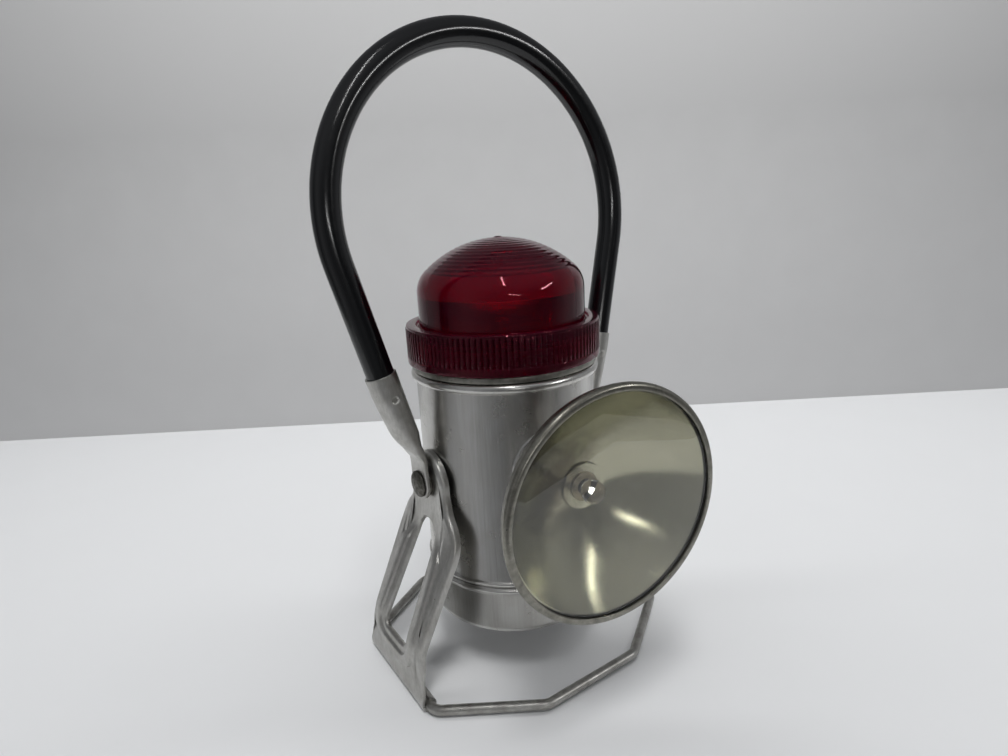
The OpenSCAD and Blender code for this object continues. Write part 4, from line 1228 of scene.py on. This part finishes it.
table_end = 0.376
table_near = -0.27
table_half = 0.66
table_near_half = 0.4
wall_at = 0.75
wall_half = 1.3
wall_foot = -0.4
wall_top = 0.64
stage_sheet("table", [behind(-table_near_half, table_near, 0), behind(table_near_half, table_near, 0),
                      behind(table_half, table_end, 0), behind(-table_half, table_end, 0)],
            stage_cloth("table_cloth", "#e9eaeb", "#d5d6d7", (0.1, 1)))
# Wall: pale at its foot and painted darker towards its top, as painted shade.
stage_sheet("wall", [behind(-wall_half, wall_at, wall_foot), behind(wall_half, wall_at, wall_foot),
                     behind(wall_half, wall_at, wall_top), behind(-wall_half, wall_at, wall_top)],
            stage_cloth("wall_paint_and_painted_shade", "#fafafa", "#c2c2c2", (-0.1, 0.4)))


def lamp(name, place, aim_at, size, power, along=(0, 0, 1)):
    """Rectangular soft lamp, sizes in metres; its long side lies in the given direction."""
    light = bpy.data.lights.new(name, "AREA")
    light.shape = "RECTANGLE"
    light.size = size[0]
    light.size_y = size[1]
    light.energy = power
    made = bpy.data.objects.new(name, light)
    bpy.context.scene.collection.objects.link(made)
    facing = (Vector(place) - Vector(aim_at)).normalized()
    side = Vector(along).cross(facing).normalized()
    length = facing.cross(side)
    made.matrix_world = Matrix.Translation(place) @ Matrix((side, length, facing)).transposed().to_4x4()
    made.visible_camera = False
    return made


def bearing_place(angle, height_angle, distance):
    """Stage place at an angle aside from the camera, and one above the dome's foot, in degrees."""
    aside = math.radians(angle)
    rise = math.radians(height_angle)
    level = distance * math.cos(rise)
    return behind(level * math.sin(aside), -level * math.cos(aside), 0.16 + distance * math.sin(rise))


def tube_lamp(name, start, end, distance, power):
    """Tube that runs from one bearing to another."""
    first = bearing_place(*start, distance)
    last = bearing_place(*end, distance)
    length = (last - first).length
    made = lamp(name, (first + last) / 2, (0, 0, 0.16), (0.03, length), power, last - first)
    made.visible_diffuse = False
    return made


ceiling = lamp("ceiling_panel", bearing_place(2, 65, 1.35), (0, 0, 0.1), (0.25, 0.5), 7.8,
               behind(0, 1, 0))
ceiling.visible_glossy = False
ceiling.visible_transmission = False
wash = lamp("wall_wash", behind(0.1, 0.15, 0.95), behind(0.1, 0.75, 0.1), (0.2, 1.8), 6.6, level_right)
wash.visible_glossy = False
tube_lamp("front_tube", (6, 42), (4, 72), 1.4, 2.4)
tube_lamp("right_tube", (56, 17), (78, 27), 1.2, 1.7)
tube_lamp("far_tube", (10, 11), (26, 5), 1.5, 1.2)

# Room: pale and dark sides by their angle from the camera, with a ceiling that is pale only over the camera

room_sides = [(-180, 0.4), (-121, 0.26), (-98, 0.28), (-80, 0.1), (-48, 0.375), (-27, 0.25), (-7, 0.155),
              (20, 0.17), (46, 0.083), (68, 0.088), (94, 0.33), (162, 0.44), (180, 0.4)]
ceiling_near = 0.36
ceiling_far = 0.2
floor_glow = 0.06

world = bpy.data.worlds.new("room")
world.use_nodes = True
world_tree = world.node_tree
world_tree.nodes.clear()
sky = add(world_tree, "ShaderNodeTexCoord").outputs["Generated"]
faced = add(world_tree, "ShaderNodeMapping",
            {"Vector": sky, "Rotation": (0, 0, math.radians(90) - azimuth)})
bearing = add(world_tree, "ShaderNodeTexGradient", {"Vector": faced.outputs[0]}, gradient_type="RADIAL")
walls = add(world_tree, "ShaderNodeValToRGB", {"Fac": bearing.outputs["Fac"]})
marks = walls.color_ramp.elements
stops = [marks[0], *[marks.new(0.5) for _ in room_sides[2:]], marks[-1]]
for mark, (angle, level) in zip(stops, room_sides):
    mark.position = angle / 360 + 0.5
    mark.color = (level, level, level, 1)
parts = add(world_tree, "ShaderNodeSeparateXYZ", {"Vector": faced.outputs[0]})
rise = add(world_tree, "ShaderNodeMapRange",
           {"Value": parts.outputs["Z"], "From Min": 0.2, "From Max": 0.7})
dip = add(world_tree, "ShaderNodeMapRange",
          {"Value": parts.outputs["Z"], "From Min": -0.4, "From Max": -0.7})
over = add(world_tree, "ShaderNodeMapRange",
           {"Value": parts.outputs["X"], "From Min": -0.3, "From Max": 0.5,
            "To Min": ceiling_far, "To Max": ceiling_near})
upper = add(world_tree, "ShaderNodeMix",
            {"Factor": rise.outputs[0], 2: walls.outputs["Color"], 3: over.outputs[0]}, data_type="FLOAT")
glow = add(world_tree, "ShaderNodeMix",
           {"Factor": dip.outputs[0], 2: upper.outputs[0], 3: floor_glow}, data_type="FLOAT")
background = add(world_tree, "ShaderNodeBackground",
                 {"Color": linear("#f4f6fa"), "Strength": glow.outputs[0]})
add(world_tree, "ShaderNodeOutputWorld", {"Surface": background.outputs[0]})
bpy.context.scene.world = world
bpy.context.scene.view_settings.view_transform = "Standard"
